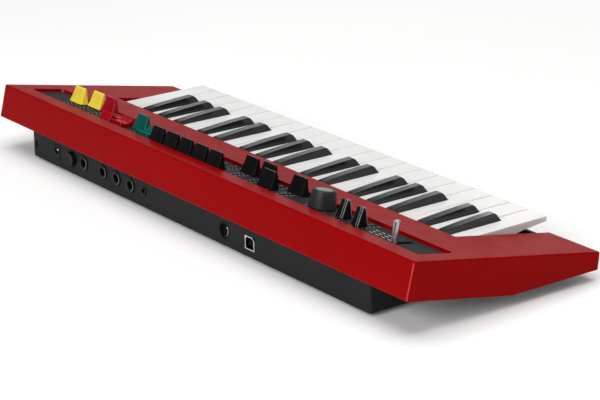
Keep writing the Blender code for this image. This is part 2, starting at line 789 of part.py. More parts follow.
def make_lower_case():
    half = TUB_HALF_WIDTH
    case = extruded("lower_case", tub_side_outline(), -half, half, "black_plastic")
    round_edges(case, tub_end_edge, TUB_END_RADIUS, 3)
    inner = half - TUB_WALL
    floor_top = TUB_BOTTOM + TUB_FLOOR
    hollow = helper_of(
        "tub_hollow",
        lambda shape: world_box(
            shape, (-inner, TUB_FRONT + TUB_WALL, floor_top), (inner, TUB_REAR - TUB_WALL, FAR)
        ),
    )
    cut(case, hollow)
    cheek_gap = CHEEK_INNER - FIT_GAP
    clear_front = helper_of(
        "clear_front",
        lambda shape: clear_cheeks(shape, cheek_gap),
    )
    wing_left = extruded(
        "wing_left", wing_floor_outline(), -CASE_HALF_WIDTH + CASE_WALL + FIT_GAP, -inner
    )
    wing_right = extruded(
        "wing_right", wing_floor_outline(), inner, CASE_HALF_WIDTH - CASE_WALL - FIT_GAP
    )
    front_rail = helper_of(
        "front_rail",
        lambda shape: world_box(
            shape,
            (-cheek_gap, TUB_FRONT, TUB_BOTTOM + TUB_FLOOR / 2),
            (cheek_gap, TUB_FRONT + TUB_WALL, RAIL_TOP),
        ),
    )
    rear_top = CASE_REAR_BOTTOM[1] + FLANGE_THICKNESS
    rear_wall = helper_of(
        "rear_wall",
        lambda shape: world_box(
            shape,
            (-half + TUB_END_RADIUS, TUB_REAR - TUB_WALL, TUB_BOTTOM + TUB_FLOOR / 2),
            (half - TUB_END_RADIUS, TUB_REAR, rear_top),
        ),
    )
    join(case, wing_left, wing_right)
    cut(case, clear_front)
    join(case, front_rail, rear_wall)
    add_battery_bay(case)
    join(case, helper_of("board_posts", board_posts))
    cut(case, helper_of("rear_holes", rear_holes), helper_of("ring_recess", ring_recess))
    cut(case, helper_of("grille", grille), helper_of("screw_ways", screw_ways))
    cut(case, helper_of("foot_wells", foot_wells))
    return case


def clear_cheeks(shape, cheek_gap):
    """Room for the upper case's cheek walls beside the keys, over the tub's front corners."""
    for side in (-1, 1):
        low, high = sorted((side * cheek_gap, side * (CHEEK_INNER + CASE_WALL + FIT_GAP)))
        world_box(
            shape,
            (low, -5 * MM, CASE_FRONT_BOTTOM[1] - FIT_GAP),
            (high, BAY_REAR_Y + BAY_LIP_LENGTH + FIT_GAP, FAR),
        )


def add_battery_bay(case):
    """Box over the cells, open below, with a ledge round its mouth for the door."""
    x, y = bay_low()
    far_x, far_y = -x, y + BAY_CELLS_WIDTH
    roof = TUB_BOTTOM + BAY_CELLS_HEIGHT
    shell = helper_of(
        "bay_shell",
        lambda shape: world_box(
            shape,
            (x - BAY_SHELL, y - BAY_SHELL, TUB_BOTTOM + TUB_FLOOR / 2),
            (far_x + BAY_SHELL, far_y + BAY_SHELL, roof + BAY_SHELL),
        ),
    )
    room = helper_of(
        "bay_room",
        lambda shape: world_box(shape, (x, y, TUB_BOTTOM - 5 * MM), (far_x, far_y, roof)),
    )
    mouth = helper_of(
        "bay_mouth",
        lambda shape: world_box(
            shape,
            (x - DOOR_LEDGE, y - DOOR_LEDGE, TUB_BOTTOM - 5 * MM),
            (far_x + DOOR_LEDGE, far_y + DOOR_LEDGE, TUB_BOTTOM + DOOR_THICKNESS + FIT_GAP),
        ),
    )
    join(case, shell)
    cut(case, room, mouth)


make_lower_case()


def make_battery_door():
    x, y = bay_low()
    reach = DOOR_LEDGE - FIT_GAP
    door = add_object(
        "battery_door",
        mesh_from(
            "battery_door",
            lambda shape: world_box(
                shape,
                (x - reach, y - reach, TUB_BOTTOM),
                (-x + reach, y + BAY_CELLS_WIDTH + reach, TUB_BOTTOM + DOOR_THICKNESS),
            ),
        ),
        "black_plastic",
    )
    pull = helper_of(
        "door_pull",
        lambda shape: world_box(
            shape,
            (-9 * MM, y + BAY_CELLS_WIDTH - 5 * MM, TUB_BOTTOM - 1 * MM),
            (9 * MM, y + BAY_CELLS_WIDTH - 1 * MM, TUB_BOTTOM + 0.9 * MM),
        ),
    )
    cut(door, pull)
    return door


make_battery_door()


def make_feet():
    number = 0
    for y in FOOT_YS:
        for x in (-FOOT_X, FOOT_X):
            number += 1
            y_world, low = place(y, TUB_BOTTOM - FOOT_HEIGHT)
            high = low + FOOT_HEIGHT + FOOT_WELL - FIT_GAP
            mesh = mesh_from(
                f"foot_{number}",
                lambda shape: add_rod(shape, FOOT_RADIUS, (x, y_world, low), (x, y_world, high), 20),
            )
            smooth(mesh)
            add_object(f"foot_{number}", mesh, "rubber")


make_feet()


# Controls: where each one sits along X and up the slope



def drawbar_x(number):
    return DRAWBAR_RIGHT - DRAWBAR_PITCH * number


def slider_places():
    """X of every slide pot on the panel."""
    places = [drawbar_x(number) for number in range(len(DRAWBAR_PLACES))]
    places += [GREEN_SLIDER[0], RED_SLIDER[0], YELLOW_SLIDERS[0][0], YELLOW_SLIDERS[1][0]]
    places += [OCTAVE_SLIDER[0], VOLUME_SLIDER[0]]
    return places


FLAT = panel_matrix(0.0, 0.0, 0.0)


def slope_box(shape, low, high):
    """A box between two (x, t, n) corners on the slope."""
    add_box(shape, low, high, FLAT)


def slope_rod(shape, radius, x, t, low, high, sides=24):
    add_rod(shape, radius, (x, t, low), (x, t, high), sides, FLAT)


def panel_slots(shape):
    deep = PANEL_UNDER - PANEL_THICKNESS
    for x in slider_places():
        slope_box(shape, (x - SLOT_HALF, SLOT_FRONT, deep), (x + SLOT_HALF, SLOT_REAR, 0.0))
    for name, x, side, look in ROCKERS:
        reach = ROCKER_HALF_BASE + 1.0 * MM
        half = ROCKER_WIDTH / 2 + RUN_GAP
        t = ROCKER_PIVOT[0]
        slope_box(shape, (x - half, t - reach, deep), (x + half, t + reach, 0.0))
    slope_rod(shape, KNOB_SHAFT + RUN_GAP, *KNOB_PLACE, deep, 0.0)
    half = LEVER_RADIUS + RUN_GAP
    slope_box(
        shape,
        (LEVER_X - half, LEVER_FRONT - half, deep),
        (LEVER_X + half, LEVER_REAR + half, 0.0),
    )


def panel_posts(shape):
    for x in PANEL_POSTS_RIGHT + PANEL_POSTS_LEFT:
        middle = (RECESS_FRONT + RECESS_REAR) / 2
        low = BOARD_TOP + FIT_GAP
        slope_rod(shape, PANEL_POST_RADIUS, x, middle, low, PANEL_TOP - 0.5 * MM, 8)


def make_control_panel():
    """A plate under the case's top, with a raised field that fills the recess."""
    low = (RECESS_LEFT - PANEL_MARGIN, RECESS_FRONT - PANEL_MARGIN, PANEL_UNDER)
    high = (RECESS_RIGHT + PANEL_MARGIN, RECESS_REAR + PANEL_MARGIN, PANEL_TOP)
    plate = mesh_from("control_panel", lambda shape: slope_box(shape, low, high))
    panel = add_object("control_panel", plate, "panel_plastic")
    field_outline = rounded_rectangle(
        (RECESS_LEFT + FIT_GAP, RECESS_FRONT + FIT_GAP),
        (RECESS_RIGHT - FIT_GAP, RECESS_REAR - FIT_GAP),
        RECESS_RADIUS - FIT_GAP,
    )
    field = panel_prism("panel_field", field_outline, PANEL_TOP - BOND, PANEL_FIELD)
    join(panel, helper_of("panel_posts", panel_posts), field)
    cut(panel, helper_of("panel_slots", panel_slots))


make_control_panel()


def pot_bodies(shape):
    for x in slider_places():
        slope_box(
            shape,
            (x - POT_WIDTH / 2, SLOT_FRONT - POT_END, BOARD_TOP - BOND),
            (x + POT_WIDTH / 2, SLOT_REAR + POT_END, PANEL_UNDER - POT_GAP),
        )
    half = LEVER_RADIUS + RUN_GAP + POT_END
    slope_box(
        shape,
        (LEVER_X - half, LEVER_FRONT - half, BOARD_TOP - BOND),
        (LEVER_X + half, LEVER_REAR + half, PANEL_UNDER - POT_GAP),
    )
    x, t = KNOB_PLACE
    half = KNOB_POT_HALF
    slope_box(
        shape,
        (x - half, t - half, BOARD_TOP - BOND),
        (x + half, t + half, PANEL_UNDER - POT_GAP),
    )
    t = ROCKER_PIVOT[0]
    half = ROCKER_WIDTH / 2
    for name, x, side, look in ROCKERS:
        slope_box(
            shape,
            (x - half, t - SWITCH_HALF_LENGTH, BOARD_TOP - BOND),
            (x + half, t + SWITCH_HALF_LENGTH, SWITCH_TOP),
        )


def rocker_ears(shape):
    """Two ears on each rocker's switch body that hold its pins."""
    t, n = ROCKER_PIVOT
    ear_inner = ROCKER_HUB_WIDTH / 2 + RUN_GAP
    ear_outer = ROCKER_WIDTH / 2 - EAR_INSET
    for name, x, tilt, look in ROCKERS:
        for side in (-1, 1):
            low, high = sorted((x + side * ear_inner, x + side * ear_outer))
            slope_box(
                shape,
                (low, t - EAR_HALF_LENGTH, SWITCH_TOP - BOND),
                (high, t + EAR_HALF_LENGTH, n + EAR_RISE),
            )


def pot_slots(shape):
    deep = PANEL_UNDER - POT_GAP - STEM_REACH - 1.0 * MM
    for x in slider_places():
        slope_box(shape, (x - SLOT_HALF, SLOT_FRONT, deep), (x + SLOT_HALF, SLOT_REAR, 0.0))
    half = LEVER_RADIUS + RUN_GAP
    slope_box(
        shape,
        (LEVER_X - half, LEVER_FRONT - half, deep),
        (LEVER_X + half, LEVER_REAR + half, 0.0),
    )
    slope_rod(shape, KNOB_SHAFT + RUN_GAP, *KNOB_PLACE, deep, 0.0)
    t, n = ROCKER_PIVOT
    for name, x, side, look in ROCKERS:
        half = ROCKER_WIDTH / 2 + 1.0 * MM
        add_rod(shape, ROCKER_PIN + RUN_GAP, (x - half, t, n), (x + half, t, n), 16, FLAT)


def make_panel_board():
    side = RECESS_RIGHT - 6.0 * MM
    low = (-side, BOARD_FRONT, BOARD_TOP - BOARD_THICKNESS)
    high = (side, SLOT_REAR + POT_END, BOARD_TOP)
    mesh = mesh_from("panel_board", lambda shape: slope_box(shape, low, high))
    board = add_object("panel_board", mesh, "board")
    join(board, helper_of("pot_bodies", pot_bodies), helper_of("rocker_ears", rocker_ears))
    cut(board, helper_of("pot_slots", pot_slots))


make_panel_board()


# Sliding caps: a wedge on a thin stem that runs in its slot


def wedge(shape, base, top, lean, height):
    """A block that narrows from its base to its top, standing on the origin."""
    bmesh.ops.create_cube(shape, size=1.0)
    for vertex in shape.verts:
        upper = vertex.co.z > 0
        size = top if upper else base
        vertex.co.x *= size[0]
        vertex.co.y = vertex.co.y * size[1] + (lean if upper else 0.0)
        vertex.co.z = height if upper else 0.0


def make_slider(name, x, t, base, top, lean, look, height=CAP_HEIGHT):
    matrix = panel_matrix(x, t, CAP_BASE)
    mesh = mesh_from(name, lambda shape: wedge(shape, base, top, lean, height))
    slider = add_object(name, mesh, look, matrix)
    bevel(slider, CAP_EDGE)
    stem_end = PANEL_UNDER - POT_GAP - STEM_REACH - CAP_BASE
    stem = helper_of(
        name + "_stem",
        lambda shape: add_box(
            shape,
            (-STEM_WIDTH / 2, -STEM_LENGTH / 2, stem_end),
            (STEM_WIDTH / 2, STEM_LENGTH / 2, 2.0 * MM),
        ),
    )
    stem.matrix_world = matrix
    join(slider, stem)
    return slider


def make_sliders():
    base = (CAP_WIDTH, CAP_LENGTH)
    top = (CAP_TOP_WIDTH, CAP_TOP_LENGTH)
    for number, t in enumerate(DRAWBAR_PLACES):
        name = f"drawbar_{len(DRAWBAR_PLACES) - number}"
        make_slider(name, drawbar_x(number), t, base, top, CAP_LEAN, "black_cap")
    make_slider("vibrato_slider", *GREEN_SLIDER, base, top, CAP_LEAN, "green_cap")
    make_slider("percussion_slider", *RED_SLIDER, base, top, CAP_LEAN, "red_cap")
    make_slider("reverb_slider", *YELLOW_SLIDERS[0], base, top, CAP_LEAN, "yellow_cap")
    make_slider("drive_slider", *YELLOW_SLIDERS[1], base, top, CAP_LEAN, "yellow_cap")
    base = (RIBBED_WIDTH, RIBBED_LENGTH)
    top = (RIBBED_TOP_WIDTH, CAP_TOP_LENGTH)
    make_slider("octave_slider", *OCTAVE_SLIDER, base, top, 0.0, "black_cap", RIBBED_HEIGHT)
    make_slider("volume_slider", *VOLUME_SLIDER, base, top, 0.0, "black_cap", RIBBED_HEIGHT)


make_sliders()


def rocker_outline():
    """Side of a rocker round its pivot: a hollowed top between two raised ends."""
    points = []
    steps = 6
    for step in range(steps + 1):
        share = 2 * step / steps - 1
        dip = (ROCKER_TOP - ROCKER_MIDDLE) * (1 - share * share)
        points.append((share * ROCKER_HALF_TOP, ROCKER_TOP - dip))
    points += [(ROCKER_HALF_BASE, ROCKER_BASE), (-ROCKER_HALF_BASE, ROCKER_BASE)]
    return points


def make_rocker(name, x, side, look):
    """side is 1 where the rear end stands up at rest, and -1 where the front end does."""
    t, n = ROCKER_PIVOT
    matrix = panel_matrix(x, t, n) @ Matrix.Rotation(side * ROCKER_TILT, 4, "X")
    origin = Matrix.Translation((0.0, *place(0.0, 0.0))).inverted()
    half = ROCKER_WIDTH / 2
    rocker = extruded(name, rocker_outline(), -half, half, look)
    rocker.data.transform(origin)
    rocker.matrix_world = matrix
    bevel(rocker, 0.5 * MM)
    hub = helper_of(name + "_hub", rocker_hub)
    hub.matrix_world = matrix
    pin = helper_of(name + "_pin", rocker_pin)
    pin.matrix_world = matrix
    join(rocker, hub, pin)


def rocker_hub(shape):
    half = ROCKER_HUB_WIDTH / 2
    add_box(
        shape,
        (-half, -ROCKER_HUB * 0.8, -ROCKER_HUB * 0.6),
        (half, ROCKER_HUB * 0.8, ROCKER_BASE + 1.0 * MM),
    )


def rocker_pin(shape):
    half = ROCKER_PIN_LENGTH / 2
    add_rod(shape, ROCKER_PIN, (-half, 0, 0), (half, 0, 0), 12)


for rocker_words in ROCKERS:
    make_rocker(*rocker_words)


def turned(name, profile, steps, look, matrix=None):
    """A round piece from (radius, height) points listed from its top down."""
    mesh = bpy.data.meshes.new(name)
    shape = bmesh.new()
    line = [shape.verts.new((radius, 0.0, height)) for radius, height in profile]
    for upper, lower in zip(line, line[1:]):
        shape.edges.new((upper, lower))
    shape.to_mesh(mesh)
    shape.free()
    made = add_object(name, mesh, look, matrix)
    screw = made.modifiers.new("turn", "SCREW")
    screw.axis = "Z"
    screw.steps = steps
    screw.render_steps = steps
    screw.use_merge_vertices = True
    screw.merge_threshold = 0.00001
    screw.use_smooth_shade = True
    return made


def make_knob():
    rim, top = KNOB_RIM
    profile = [
        (0.0, top),
        (rim - KNOB_EDGE, top),
        (rim, top - KNOB_EDGE),
        KNOB_SHOULDER,
        KNOB_FOOT,
        (KNOB_SHAFT, KNOB_FOOT[1]),
        (KNOB_SHAFT, PANEL_UNDER - POT_GAP - STEM_REACH),
        (0.0, PANEL_UNDER - POT_GAP - STEM_REACH),
    ]
    matrix = panel_matrix(*KNOB_PLACE, 0.0)
    knob = turned("voice_knob", profile, 28, "grey_plastic", matrix)
    groove = helper_of(
        "knob_groove",
        lambda shape: add_box(
            shape,
            (-KNOB_EDGE, KNOB_SHAFT, top - KNOB_EDGE),
            (KNOB_EDGE, rim + 2 * MM, top + 1 * MM),
        ),
    )
    groove.matrix_world = matrix
    cut(knob, groove)


make_knob()


def make_lever():
    foot = PANEL_UNDER - POT_GAP - STEM_REACH
    profile = [
        (0.0, LEVER_TOP),
        (LEVER_RADIUS * 0.6, LEVER_TOP - 0.15 * MM),
        (LEVER_RADIUS * 0.9, LEVER_TOP - 0.7 * MM),
        (LEVER_RADIUS, LEVER_TOP - 1.6 * MM),
        (LEVER_RADIUS, foot),
        (0.0, foot),
    ]
    turned("rotary_lever", profile, 16, "steel", panel_matrix(LEVER_X, LEVER_REAR, 0.0))


make_lever()


def make_power_button():
    x, z = POWER_BUTTON
    wall_inner = TUB_REAR - TUB_WALL
    y, z_world = place(wall_inner, z)
    profile = [
        (0.0, TUB_WALL + BUTTON_PROUD),
        (BUTTON_RADIUS - 0.8 * MM, TUB_WALL + BUTTON_PROUD),
        (BUTTON_RADIUS, TUB_WALL + BUTTON_PROUD - 0.8 * MM),
        (BUTTON_RADIUS, -FIT_GAP),
        (BUTTON_RADIUS + 1.2 * MM, -FIT_GAP),
        (BUTTON_RADIUS + 1.2 * MM, -FIT_GAP - BUTTON_FLANGE),
        (0.0, -FIT_GAP - BUTTON_FLANGE),
    ]
    facing = Matrix.Translation((x, y, z_world)) @ Matrix.Rotation(math.radians(-90), 4, "X")
    turned("power_button", profile, 20, "black_plastic", facing)


make_power_button()


# Jack board: sockets behind the rear wall


def socket_body(shape, spot, half_width, depth, above):
    """Block of a socket, standing on the board behind the rear wall."""
    x, z = spot
    rear = TUB_REAR - TUB_WALL - FIT_GAP
    world_box(
        shape,
        (x - half_width, rear - depth, JACK_BOARD_TOP - BODY_SINK),
        (x + half_width, rear, z + above),
    )


def socket_bodies(shape):
    for jack in JACKS:
        socket_body(shape, jack, JACK_BODY / 2, JACK_DEPTH, JACK_BODY / 2)
    socket_body(shape, MINI_JACK, *MINI_BODY)
    socket_body(shape, POWER_INLET, *INLET_BODY)
    socket_body(shape, DIN_SOCKET, *DIN_BODY)
    socket_body(shape, DATA_SOCKET, *DATA_BODY)
    x, z = POWER_BUTTON
    half, depth, above = SWITCH_BODY
    world_box(
        shape,
        (x - half, SWITCH_REAR - depth, JACK_BOARD_TOP - BODY_SINK),
        (x + half, SWITCH_REAR, z + above),
    )


def socket_noses(shape):
    inside = TUB_REAR - TUB_WALL - 1.0 * MM
    for jack in JACKS:
        rear_rod(shape, jack, JACK_RADIUS, inside, TUB_REAR + 0.4 * MM, 20)
    rear_rod(shape, MINI_JACK, MINI_RADIUS, inside, TUB_REAR + 0.3 * MM, 16)
    rear_rod(shape, DIN_SOCKET, DIN_RADIUS, inside, TUB_REAR - 0.2 * MM, 20)
    x, z = DATA_SOCKET
    world_box(
        shape,
        (x - DATA_WIDTH / 2, inside, z - DATA_HEIGHT / 2),
        (x + DATA_WIDTH / 2, TUB_REAR, z + DATA_HEIGHT / 2),
    )


def socket_bores(shape):
    outside = TUB_REAR + 2.0 * MM
    for jack in JACKS:
        rear_rod(shape, jack, JACK_BORE, TUB_REAR - 19.0 * MM, outside, 14)
    rear_rod(shape, MINI_JACK, MINI_BORE, TUB_REAR - 12.0 * MM, outside, 12)
    rear_rod(shape, POWER_INLET, INLET_RADIUS - 0.1 * MM, TUB_REAR - 12.0 * MM, outside, 16)
    rear_rod(shape, DIN_SOCKET, DIN_RADIUS - 1.2 * MM, TUB_REAR - 1.6 * MM, outside, 20)
    x, z = DATA_SOCKET
    world_box(
        shape,
        (x - DATA_BORE[0] / 2, TUB_REAR - 11.0 * MM, z - DATA_BORE[1] / 2),
        (x + DATA_BORE[0] / 2, outside, z + DATA_BORE[1] / 2),
    )


def din_pins(shape):
    """Five small holes on an arc in the round socket."""
    x, z = DIN_SOCKET
    for step in range(-2, 3):
        angle = math.radians(90 + 45 * step)
        spot = (x + PIN_CIRCLE * math.cos(angle), z + PIN_CIRCLE * math.sin(angle))
        rear_rod(shape, spot, 0.6 * MM, TUB_REAR - 7.0 * MM, TUB_REAR, 6)


def socket_cores(shape):
    """Centre pin of the power inlet and the tongue of the data socket."""
    rear_rod(shape, POWER_INLET, INLET_PIN, TUB_REAR - 13.0 * MM, TUB_REAR - 1.5 * MM, 12)
    x, z = DATA_SOCKET
    world_box(
        shape,
        (x - DATA_TONGUE[0] / 2, TUB_REAR - 12.0 * MM, z - DATA_TONGUE[1] / 2),
        (x + DATA_TONGUE[0] / 2, TUB_REAR - 1.0 * MM, z + DATA_TONGUE[1] / 2),
    )


def make_jack_board():
    left = DATA_SOCKET[0] - 14.0 * MM
    right = POWER_INLET[0] + 8.0 * MM
    rear = TUB_REAR - TUB_WALL - FIT_GAP
    mesh = mesh_from(
        "jack_board",
        lambda shape: world_box(
            shape,
            (left, JACK_BOARD_FRONT, JACK_BOARD_TOP - BOARD_THICKNESS),
            (right, rear, JACK_BOARD_TOP),
        ),
    )
    board = add_object("jack_board", mesh, "board")
    join(board, helper_of("socket_bodies", socket_bodies))
    join(board, helper_of("socket_noses", socket_noses))
    cut(board, helper_of("socket_bores", socket_bores), helper_of("din_pins", din_pins))
    join(board, helper_of("socket_cores", socket_cores))


make_jack_board()


def make_speakers():
    for name, side in (("speaker_left", -1), ("speaker_right", 1)):
        floor = wing_floor_height(SPEAKER_Y + SPEAKER_RADIUS) + WING_FLOOR + FIT_GAP
        y, z = place(SPEAKER_Y, floor)
        magnet = SPEAKER_RADIUS * 0.5
        profile = [
            (0.0, SPEAKER_DEPTH + 3.0 * MM),
            (magnet, SPEAKER_DEPTH + 3.0 * MM),
            (magnet, SPEAKER_DEPTH),
            (SPEAKER_RADIUS - 2.0 * MM, 1.4 * MM),
            (SPEAKER_RADIUS, 1.4 * MM),
            (SPEAKER_RADIUS, 0.0),
            (SPEAKER_RADIUS - 2.5 * MM, 0.0),
            (4.0 * MM, 4.0 * MM),
            (0.0, 4.0 * MM),
        ]
        turned(name, profile, 18, "paper", Matrix.Translation((side * SPEAKER_X, y, z)))


make_speakers()


# Keys


def black_left(octave, place_in_octave):
    """X of a black key's left side."""
    joint = (BLACK_AFTER_WHITE[place_in_octave] + 1) * KEY_PITCH
    middle = KEY_FIRST_X + octave * OCTAVE + joint + BLACK_SHIFTS[place_in_octave]
    return middle - BLACK_WIDTH / 2


def white_sides(number):
    """X of a white key: its front left and right, then its narrower left and right."""
    octave, letter = divmod(number, 7)
    left = KEY_FIRST_X + number * KEY_PITCH + KEY_GAP / 2
    right = left + KEY_PITCH - KEY_GAP
    rear_left = left
    rear_right = right
    if letter in BLACK_AFTER_WHITE and number < WHITE_COUNT - 1:
        rear_right = black_left(octave, BLACK_AFTER_WHITE.index(letter)) - NOTCH_GAP
    if letter - 1 in BLACK_AFTER_WHITE:
        before = BLACK_AFTER_WHITE.index(letter - 1)
        rear_left = black_left(octave, before) + BLACK_WIDTH + NOTCH_GAP
    return left, right, rear_left, rear_right


def white_plan(number):
    """Outline of a white key from above, with rounded front corners."""
    left, right, rear_left, rear_right = white_sides(number)
    radius = 2.0 * MM
    points = []
    for step in range(4):
        angle = math.pi * (1.0 + step / 6)
        points.append((left + radius + radius * math.cos(angle), radius + radius * math.sin(angle)))
    for step in range(4):
        angle = math.pi * (1.5 + step / 6)
        points.append((right - radius + radius * math.cos(angle), radius + radius * math.sin(angle)))
    if rear_right < right:
        points += [(right, NOTCH_FRONT), (rear_right, NOTCH_FRONT)]
    points += [(rear_right, KEY_END), (rear_left, KEY_END)]
    if rear_left > left:
        points += [(rear_left, NOTCH_FRONT), (left, NOTCH_FRONT)]
    return points


def boss_arc():
    """Rear of a key: half round about the pivot, from its top to its bottom."""
    points = []
    for step in range(BOSS_STEPS + 1):
        angle = math.pi * (0.5 - step / BOSS_STEPS)
        points.append(
            (PIVOT_Y + PIVOT_RADIUS * math.cos(angle), PIVOT_Z + PIVOT_RADIUS * math.sin(angle))
        )
    return points


def white_side():
    """A white key from the side: a rounded nose, a deeper skirt behind and a round tail."""
    nose = 1.0 * MM
    points = [(0.0, -4.0 * MM), (0.0, -nose), (0.3 * nose, -0.3 * nose), (nose, 0.0)]
    points += [(PIVOT_Y - 12 * MM, 0.0), (PIVOT_Y - 4.5 * MM, PIVOT_Z + PIVOT_RADIUS)]
    points += boss_arc()
    points += [
        (PIVOT_Y - 6 * MM, TAIL_UNDER),
        (SKIRT_REAR + 3 * MM, TAIL_UNDER),
        (SKIRT_REAR, -WHITE_DROP),
        (SKIRT_FRONT, -WHITE_DROP),
        (SKIRT_FRONT - 1.5 * MM, TAIL_UNDER),
        (31 * MM, -7.5 * MM),
        (20 * MM, -5.5 * MM),
    ]
    return points


def black_top(y):
    """Height of a black key's top, which falls a little faster towards the rear."""
    back = y - BLACK_CREST
    return BLACK_HEIGHT - BLACK_FALL * back - BLACK_BEND * back ** 2


def black_side():
    """A black key from the side."""
    front = BLACK_FRONT
    points = [(front, -8.0 * MM), (front, 0.0), (front + 3.2 * MM, BLACK_HEIGHT - 1.4 * MM)]
    points.append((front + 5.0 * MM, BLACK_HEIGHT - 0.1 * MM))
    for y in (BLACK_CREST,) + BLACK_TOP_YS:
        points.append((y, black_top(y)))
    points += BLACK_TAIL
    points.append((PIVOT_Y - 4.5 * MM, PIVOT_Z + PIVOT_RADIUS))
    points += boss_arc()
    points += [
        (PIVOT_Y - 6 * MM, TAIL_UNDER),
        (SKIRT_REAR + 3 * MM, TAIL_UNDER),
        (SKIRT_REAR, -BLACK_DROP),
        (SKIRT_FRONT, -BLACK_DROP),
        (SKIRT_FRONT - 1 * MM, -8.0 * MM),
    ]
    return points


def hollow_box(shape, left, right, front, rear, ceiling):
    world_box(
        shape,
        (left + KEY_WALL, front, -2 * WHITE_DROP),
        (right - KEY_WALL, rear, ceiling),
    )


def white_key(name, number, look):
    left, right, rear_left, rear_right = white_sides(number)
    key = extruded(name, white_side(), left - KEY_GAP, right + KEY_GAP, look)
    plan = extruded(name + "_plan", white_plan(number), -2 * WHITE_DROP, WHITE_DROP, axis="Z")
    boolean(key, plan, "INTERSECT")
    hollow = helper_of(
        name + "_hollow",
        lambda shape: (
            hollow_box(shape, left, right, 1.8 * MM, 28 * MM, -HOLLOW_TOP),
            hollow_box(shape, rear_left, rear_right, HOLLOW_FRONT, SKIRT_REAR - 2 * MM, -HOLLOW_TOP),
        ),
    )
    cut(key, hollow)
    return key


def black_key(name, octave, place_in_octave, look):
    left = black_left(octave, place_in_octave)
    key = extruded(name, black_side(), left, left + BLACK_WIDTH, look)
    middle = left + BLACK_WIDTH / 2
    ground = place(0.0, 0.0)[1]
    narrowing = 1 - BLACK_TOP_WIDTH / BLACK_WIDTH
    for vertex in key.data.vertices:
        height = max(0.0, vertex.co.z - ground) / BLACK_HEIGHT
        vertex.co.x = middle + (vertex.co.x - middle) * (1 - narrowing * height)
    hollow = helper_of(
        name + "_hollow",
        lambda shape: hollow_box(
            shape, left, left + BLACK_WIDTH, HOLLOW_FRONT, SKIRT_REAR - 2 * MM, -HOLLOW_TOP
        ),
    )
    cut(key, hollow)
    return key


def key_axis(x):
    return Vector((x, *place(PIVOT_Y, PIVOT_Z)))


def make_single_keys():
    """One body for each key of the lower two octaves."""
    number = 0
    for octave in range(SINGLE_OCTAVES):
        for letter in range(7):
            number += 1
            white = octave * 7 + letter
            name = f"key_{number:02d}_{WHITE_LETTERS[letter]}"
            key = baked(white_key(name, white, "white_key"))
            left, right, rear_left, rear_right = white_sides(white)
            set_origin(key, key_axis((rear_left + rear_right) / 2))
            if letter in BLACK_AFTER_WHITE:
                number += 1
                black = BLACK_AFTER_WHITE.index(letter)
                name = f"key_{number:02d}_{BLACK_LETTERS[black]}"
                key = baked(black_key(name, octave, black, "black_key"))
                set_origin(key, key_axis(black_left(octave, black) + BLACK_WIDTH / 2))


make_single_keys()




def top_white_rear(shape):
    """Bar behind the pivots that joins the top octave's white keys, and a hook to each."""
    low = PIVOT_Z - 4.5 * MM
    first = SINGLE_OCTAVES * 7
    start = white_sides(first)[2] + 1 * MM
    end = white_sides(WHITE_COUNT - 1)[3] - 1 * MM
    world_box(shape, (start, WHITE_BAR[0], low), (end, WHITE_BAR[1], low + 2.6 * MM))


def white_hooks(shape):
    for white in range(SINGLE_OCTAVES * 7, WHITE_COUNT):
        rear_left, rear_right = white_sides(white)[2:]
        inset = 2.0 * MM
        world_box(
            shape,
            (rear_left + inset, PIVOT_Y - 1 * MM, HOOK_LOW),
            (rear_right - inset, WHITE_BAR[1], HOOK_HIGH),
        )


def white_drops(shape):
    for white in range(SINGLE_OCTAVES * 7, WHITE_COUNT):
        rear_left, rear_right = white_sides(white)[2:]
        inset = 2.4 * MM
        world_box(
            shape,
            (rear_left + inset, WHITE_BAR[0] + 0.3 * MM, PIVOT_Z - 3.0 * MM),
            (rear_right - inset, WHITE_BAR[1] - 0.3 * MM, HOOK_LOW + 0.5 * MM),
        )


def make_top_whites():
    """The top octave's white keys, joined behind their pivots into one comb."""
    first = SINGLE_OCTAVES * 7
    comb = baked(white_key("keys_top_white", first, "white_key"))
    for white in range(first + 1, WHITE_COUNT):
        join(comb, baked(white_key(f"top_white_{white}", white, None)))
    join(comb, helper_of("white_hooks", white_hooks), helper_of("white_drops", white_drops))
    join(comb, helper_of("top_white_rear", top_white_rear))
    baked(comb)
    set_origin(comb, key_axis(white_sides(first)[0]))


def black_hooks(shape):
    for black in range(BLACKS_IN_OCTAVE):
        left = black_left(SINGLE_OCTAVES, black)
        inset = 1.5 * MM
        world_box(
            shape,
            (left + inset, PIVOT_Y - 1 * MM, HOOK_LOW),
            (left + BLACK_WIDTH - inset, BLACK_BAR[1], HOOK_HIGH),
        )


def top_black_rear(shape):
    start = black_left(SINGLE_OCTAVES, 0) + 1 * MM
    end = black_left(SINGLE_OCTAVES, BLACKS_IN_OCTAVE - 1) + BLACK_WIDTH - 1 * MM
    world_box(
        shape,
        (start, BLACK_BAR[0], HOOK_LOW - 1.6 * MM),
        (end, BLACK_BAR[1], HOOK_LOW + 0.8 * MM),
    )


def make_top_blacks():
    """The top octave's black keys, joined the same way behind and above the white bar."""
    comb = baked(black_key("keys_top_black", SINGLE_OCTAVES, 0, "black_key"))
    for black in range(1, BLACKS_IN_OCTAVE):
        join(comb, baked(black_key(f"top_black_{black}", SINGLE_OCTAVES, black, None)))
    join(comb, helper_of("black_hooks", black_hooks), helper_of("top_black_rear", top_black_rear))
    baked(comb)
    set_origin(comb, key_axis(black_left(SINGLE_OCTAVES, 0)))


make_top_whites()
make_top_blacks()


# Key frame: it carries every key's pivot, guides it and stops it


def frame_plates(shape):
    low = FRAME_TOP - FRAME_PLATE
    world_box(
        shape,
        (-FRAME_HALF, SHELF_FRONT, low),
        (FRAME_HALF, SHELF_FRONT + FRAME_PLATE, SHELF_TOP),
    )


